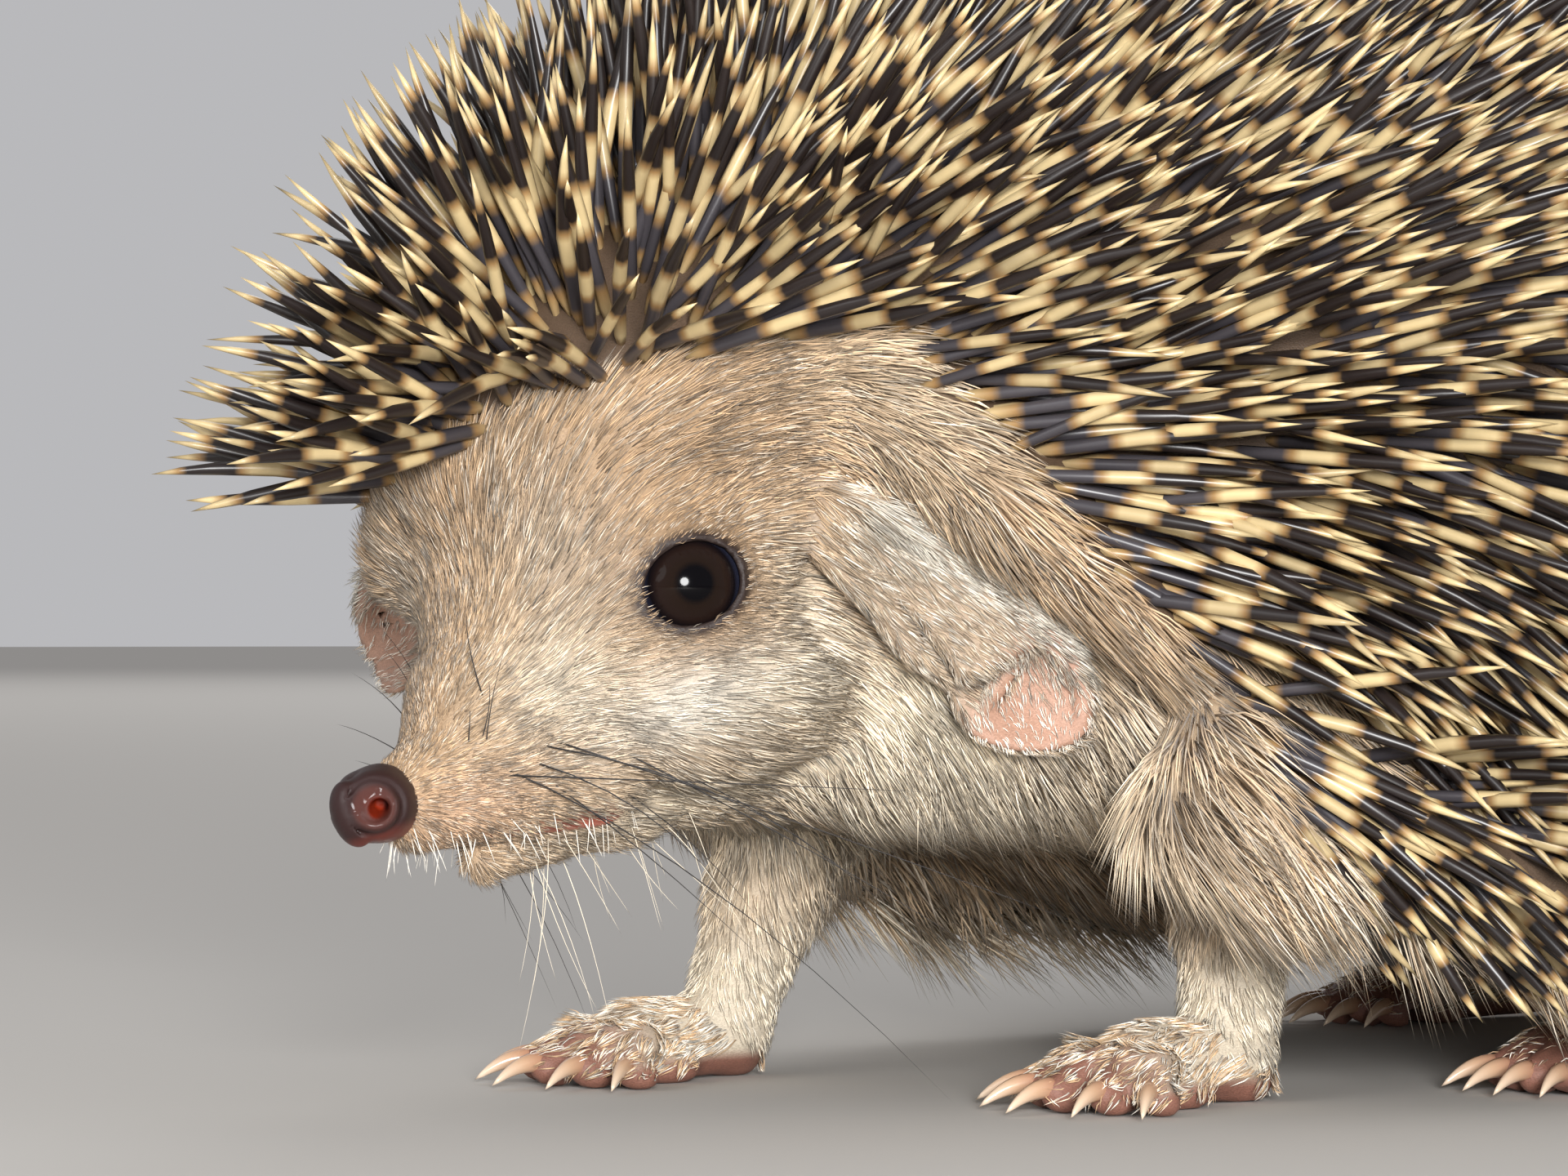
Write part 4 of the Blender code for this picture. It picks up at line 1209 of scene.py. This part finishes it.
def make_claws(foot):
    """A foot's five curved pale claws."""
    share = np.linspace(0, 1, CLAW_RINGS + 1)
    rise = 0.35 + 0.5 * share - 2.1 * share ** 2
    paths = []
    for _, _, tip, ahead in toes(foot):
        path = tip + ahead * (0.2 + CLAW_LENGTH * share)[:, None] + np.array([0, 0, 1.0]) * rise[:, None]
        paths.append(from_foot(path, foot))
    paths = np.stack(paths)
    radii = np.repeat((CLAW_RADIUS * (1 - share[:-1] ** 1.6) + 0.07)[None], len(paths), 0)
    up = np.repeat(np.array([[0, 0, 1.0]]), len(paths), 0)
    name = side_name(foot.side)
    obj = sweep("claws_%s_%s" % (foot.kind, name), paths, radii, CLAW_SIDES, up, share, 1.15)
    finish_piece(obj, claw_material(), "claw", *["%sclaw_%s_%d" % (foot.kind, name, n + 1) for n in range(5)])


# Growing the coat, region by region.

TUFTS = {"head": 38000, "ruff": 19000, "belly": 12000, "fringe": 5000, "legs": 9500, "feet": 7000,
         "ear_left": 9800, "ear_right": 5200}


class Ground:
    """The skin with what the hair needs to know of it."""

    def __init__(self, points, quads, inside):
        self.points, self.quads = points, quads
        self.centre = points[quads].mean(1)
        a, b = points[quads[:, 2]] - points[quads[:, 0]], points[quads[:, 3]] - points[quads[:, 1]]
        self.normal = unit(np.cross(a, b))
        self.inside = inside[quads].mean(1)
        self.head = to_head(self.centre)
        self.ears = {side: self.near(lambda c, k=side: ear_field(to_head(c), k), 0.3) for side in (1, -1)}
        self.feet = self.near(feet_field, 0.35)
        self.legs = self.near(leg_fields, 0.5) & ~self.feet
        self.bare = self.ears[1] | self.ears[-1] | self.legs | self.feet

    def near(self, field, reach):
        return in_chunks(field, self.centre) < reach

    def grow(self, mask, count, rng, reach=0.3):
        """Roots over the masked faces, with their normals."""
        roots = scatter(self.points, self.quads, np.asarray(mask, float), count, rng)
        return roots, unit(gradient(skin_field, roots, reach))


def grow_head(ground, rng):
    q, m = ground.head, mirrored(ground.head)
    axial, oval = eye_coordinates(m)
    bare = (mouth_distance(m) < 0.75) | ((oval < 1.08) & (axial > 0)) | ground.bare | (q[:, 0] > 24.5)
    fur = (ground.inside < 0.8) & ~bare & (q[:, 0] > -13)
    snout = step(5, 20, q[:, 0])
    eyes = np.exp(-((oval - 1.3) / 0.8) ** 2) * (axial > -1)
    roots, normals = ground.grow(fur * (0.7 + 2.4 * snout + 0.8 * eyes), TUFTS["head"], rng)
    ways, lengths = comb(roots, normals)
    m = mirrored(to_head(roots))
    axial, oval = eye_coordinates(m)
    lengths *= 1 - 0.62 * np.exp(-((oval - 1.15) / 0.45) ** 2) * (axial > -1)
    widths = np.interp(lengths, (0.8, 4), (0.085, 0.155))
    forward = m[:, 0]
    parts = {"snout": forward > 12, "face": (forward <= 12) & (forward > 2), "cheeks": forward <= 2}
    for name, here in parts.items():
        make_hair("fur_" + name, roots[here], normals[here], ways[here], lengths[here], rng, widths[here], 15,
                  spacing=0.7, ticking=0.25)


def grow_trunk(ground, rng):
    c = ground.centre
    fur = (ground.inside < 2.4) & ~ground.bare & (ground.head[:, 0] <= -9.5)
    ruff = fur & (c[:, 1] < 19) & (c[:, 2] > 15)
    throat = np.exp(-(norm(c - body(8, 14, 29)) / 8) ** 2)
    roots, normals = ground.grow(ruff * (1 + 1.5 * throat), TUFTS["ruff"], rng, 0.5)
    ways, lengths = comb(roots, normals)
    lengths *= 1 - 0.12 * step(-5, -1, into_mantle(roots)) * step(24, 34, roots[:, 2])
    make_hair("fur_neck", roots, normals, ways, lengths, rng, 0.22, 17, spacing=1.5, pull=0.5, droop=0.05)
    roots, normals = ground.grow(fur & ~ruff, TUFTS["belly"], rng, 0.5)
    ways, lengths = comb(roots, normals)
    make_hair("fur_belly", roots, normals, ways, lengths, rng, 0.32, 16, spacing=2.2, pull=0.5, droop=0.05,
              slot="pale_fur")
    edge = (np.abs(ground.inside) < 2.6) & (c[:, 1] > 9) & (c[:, 2] < 24)
    roots, normals = ground.grow(edge * np.where(c[:, 0] > 0, 1.6, 0.7), TUFTS["fringe"], rng, 0.5)
    ways = body(-0.8, 0, -1) + normals * 0.2
    lengths = np.full(len(roots), 11.5)
    colour = TAN + (CREAM - TAN) * rng.random((len(roots), 1))
    make_hair("fur_fringe", roots, normals, ways, lengths, rng, 0.24, 22, 3, spacing=2.6, pull=0.5,
              droop=0.12, slot="pale_fur", colour=colour)


def foot_ways(p):
    """Toward the toes, fanning with them, and a little down."""
    pick, q = foot_places(p)
    turns = np.array([radians(foot.turn) for foot in FEET])[pick] + np.arctan2(q[:, 1] * 0.6, 8.0)
    return np.stack([np.sin(turns), -np.cos(turns), np.full(len(p), -0.35)], 1)


def grow_legs(ground, rng):
    roots, normals = ground.grow(ground.legs & (ground.centre[:, 2] < 26), TUFTS["legs"], rng)
    ways = np.repeat(body(-0.25, 0, -1)[None], len(roots), 0)
    lengths = np.interp(roots[:, 2], (5, 12, 24), (1.7, 2.8, 4.5))
    make_hair("fur_legs", roots, normals, ways, lengths, rng, lift=20, spacing=1.2, slot="pale_fur")
    tops = ground.feet & (ground.normal[:, 2] > -0.25) & (ground.centre[:, 2] > 1.2)
    along = foot_places(ground.centre)[1][:, 0]
    weight = tops * np.interp(along, (0.45, 0.7, 0.88, 1), (1.0, 0.6, 0.08, 0))
    weight *= np.where(ground.centre[:, 1] < 40, 2.2, 1)
    roots, normals = ground.grow(weight, TUFTS["feet"], rng)
    lengths = np.interp(foot_places(roots)[1][:, 0], (0, 0.5, 0.9), (2.9, 2.6, 1.4))
    colour = TAN + (WHITE - TAN) * (rng.random((len(roots), 1)) < 0.35)
    make_hair("fur_feet", roots, normals, foot_ways(roots), lengths, rng, lift=9, spacing=1.3, pull=0.85,
              slot="pale_fur", colour=colour)


def grow_ear(ground, side, rng):
    name = "ear_" + side_name(side)
    _, along, across, out = ear_axes(side)
    roots, normals = ground.grow(ground.ears[side], TUFTS[name], rng)
    a, b, _ = in_ear(to_head(roots), side).T
    facing = (normals @ HEAD_AXES.T) @ out > 0
    rim = np.exp(-((b + 3.0) / 1.5) ** 2)
    lobe = step(17, 20, a) * step(-1.6, 0.4, b) * facing
    way = (along + across * (0.15 + 1.2 * lobe - 0.15 * rim)[:, None]) @ HEAD_AXES
    pale = rng.random(len(roots)) < (0.15 + 0.8 * rim) * step(-2, 6, a)
    colour = toward(TAN, GREY, step(-2, 7, a) * (0.6 + 0.4 * rim))
    colour = toward(colour, WHITE, np.maximum(lobe * 0.9, 0.75 * pale))
    lengths = 1.7 + 1.2 * step(12, 2, a) - 0.7 * lobe + 1.2 * rim
    keep = rng.random(len(roots)) > 0.7 * lobe
    make_hair("fur_" + name, roots[keep], normals[keep], way[keep], lengths[keep], rng, 0.12, 10,
              spacing=1.0, pull=0.5, colour=colour[keep], messy=0.1)


# Loose hairs: root, way, length, thickness, how many and how far apart, in head axes on the left.
EAR_TUFT = [((-11, 16.4, 0.5), (-0.75, 0.4, -0.75), 7, 0.11, 90, (1.6, 0.6, 1.4)),
            ((-13.5, 17.2, -5), (-0.6, 0.45, -0.85), 4.5, 0.09, 40, (1.2, 0.5, 1.2))]
LIP_BRISTLES = [((24.4 - 2.3 * k, 1.6 + 0.28 * k, -9.8 - 0.25 * k), (0.25, 0.3, -1), 2.8, 0.1, 5,
                 (1.0, 0.4, 0.3)) for k in range(8)]
CHIN_HAIRS = [((12, 1.5, -14), (0.1, 0.1, -1), 11, 0.08, 4, (2, 1, 0.2)),
              ((3, 2, -16), (-0.2, 0.1, -1), 9, 0.08, 6, (3, 2, 0.2))]
WHISKERS = [((13.5, 5.2, -7.2), (-0.7, 0.5, -0.5), 33, 0.13, 5, (2.2, 0.5, 0.9)),
            ((10.5, 6.2, -8.5), (-0.7, 0.4, -0.75), 24, 0.12, 4, (2.0, 0.5, 0.9)),
            ((13.5, 4.2, -2.5), (0.0, -0.25, 1), 8, 0.11, 3, (1.2, 0.5, 0.8)),
            ((16.5, 3.5, -5.5), (0.1, 0.6, 0.6), 9, 0.1, 3, (1.2, 0.5, 0.8)),
            ((5, 6, 6), (-0.2, 0.2, 1), 6, 0.09, 3, (2, 1, 0.8))]
BRISTLE_RINGS = 7


def make_tuft(name, rows, sides, colour, seed, spread=0.12, curl=0.12):
    """Loose hairs from rows of such values, spread about their way and curling down."""
    rng = np.random.default_rng(seed)
    roots, ways, lengths, widths = [], [], [], []
    for at, way, length, width, count, around in rows:
        for side in sides:
            p = np.array(at, float) + rng.normal(0, 1, (count, 3)) * around
            w = unit(np.array(way, float)) + rng.normal(0, spread, (count, 3))
            roots.append(from_head(p * (1, side, 1)))
            ways.append(unit((w * (1, side, 1)) @ HEAD_AXES))
            lengths.append(length * rng.uniform(0.6, 1.1, count))
            widths.append(np.full(count, width))
    roots, ways, lengths, widths = [np.concatenate(parts) for parts in (roots, ways, lengths, widths)]
    slope = gradient(skin_field, roots, 0.1)
    roots = roots - slope * in_chunks(skin_field, roots)[:, None] - unit(slope) * 0.2
    bend = rng.normal(0, curl, ways.shape) + np.array([0, 0, -curl])
    stops = np.linspace(0, 1, BRISTLE_RINGS + 1)
    t = stops[None, :, None]
    paths = roots[:, None] + (ways[:, None] * t + bend[:, None] * t * t) * lengths[:, None, None]
    radii = widths[:, None] / 2 * (1 - 0.8 * stops[:-1])[None]
    obj = sweep(name, paths, radii, 4, unit(slope), np.full(len(stops), 0.5),
                coat=np.repeat(colour[None], len(roots), 0))
    finish_piece(obj, hair_material(), "fur")


# Camera, light and floor.

VIEW_TURN = 36.0                    # the camera stands this far round from the animal's left side
VIEW_LENS = 114.84
VIEW_SENSOR = 36
VIEW_DISTANCE = 350.0
VIEW_TILT = atan(57 / 6125)
VIEW_MIDDLE = (-3.2, -15.4, 33.8)   # what the camera faces, rightward, away and up from the body's origin
LIGHTS = [("key", (0.548, -0.356, 0.12), 6.0, 0.16), ("fill", (0.1, -0.8, 0.35), 1.3, 0.5),
          ("back", (-2.0, 2.0, 2.3), 28, 1.6)]      # place in metres, power and size
LIT_AT = Vector((0, -0.02, 0.04))
FLOOR_REACH = 12


def add_camera():
    turn = radians(VIEW_TURN)
    right = Vector((sin(turn), cos(turn), 0))
    away = Vector((-cos(turn), sin(turn), 0))
    ahead = away * cos(VIEW_TILT) + Vector((0, 0, sin(VIEW_TILT)))
    above = right.cross(ahead)
    aside, beyond, up = VIEW_MIDDLE
    spot = (Vector(SHIFT) + right * aside + away * (beyond - VIEW_DISTANCE) + Vector((0, 0, up))) * MM
    camera = bpy.data.cameras.new("camera")
    camera.lens = VIEW_LENS
    camera.sensor_width = VIEW_SENSOR
    camera.clip_start = 0.01
    obj = add_object("camera", camera)
    columns = zip((right, above, -ahead, spot), (0, 0, 0, 1))
    obj.matrix_world = Matrix([(*column, w) for column, w in columns]).transposed()
    bpy.context.scene.camera = obj


def add_light(name, spot, power, size):
    light = bpy.data.lights.new(name, "AREA")
    light.energy = power
    light.shape = "DISK"
    light.size = size
    obj = add_object(name, light)
    obj.location = spot
    obj.rotation_euler = (LIT_AT - Vector(spot)).to_track_quat("-Z", "Y").to_euler()
    obj.visible_camera = False


def add_stage():
    world = bpy.data.worlds.new("studio")
    bpy.context.scene.world = world
    world.use_nodes = True
    background = world.node_tree.nodes["Background"]
    background.inputs["Color"].default_value = (0.97, 0.97, 1.0, 1)
    background.inputs["Strength"].default_value = 0.5
    for light in LIGHTS:
        add_light(*light)
    mesh = bpy.data.meshes.new("floor")
    corners = [(x * FLOOR_REACH, y * FLOOR_REACH, 0) for x, y in ((-1, -1), (1, -1), (1, 1), (-1, 1))]
    mesh.from_pydata(corners, [], [(0, 1, 2, 3)])
    mesh.materials.append(new_material("floor", {
        "Base Color": (0.56, 0.54, 0.51, 1), "Roughness": 1.0, "Specular IOR Level": 0.0})[0])
    add_object("floor", mesh)


rng = np.random.default_rng(SEED)
skin = make_skin()
grow_spines(*skin, rng)
for eye_side in (1, -1):
    make_eye(eye_side)
make_nose()
for foot in FEET:
    make_claws(foot)
ground = Ground(*skin)
grow_head(ground, rng)
grow_trunk(ground, rng)
grow_legs(ground, rng)
grow_ear(ground, 1, rng)
grow_ear(ground, -1, rng)
make_tuft("tufts_ears", EAR_TUFT, (1,), WHITE, 14, 0.12, 0.06)
make_tuft("bristles_lips", LIP_BRISTLES, (1, -1), WHITE, 11, 0.2, 0.05)
make_tuft("bristles_chin", CHIN_HAIRS, (1, -1), CREAM, 12, 0.25, 0.15)
make_tuft("whiskers", WHISKERS, (1, -1), srgb(26, 20, 18), 13)
add_stage()
add_camera()
bpy.context.scene.view_settings.view_transform = "Standard"
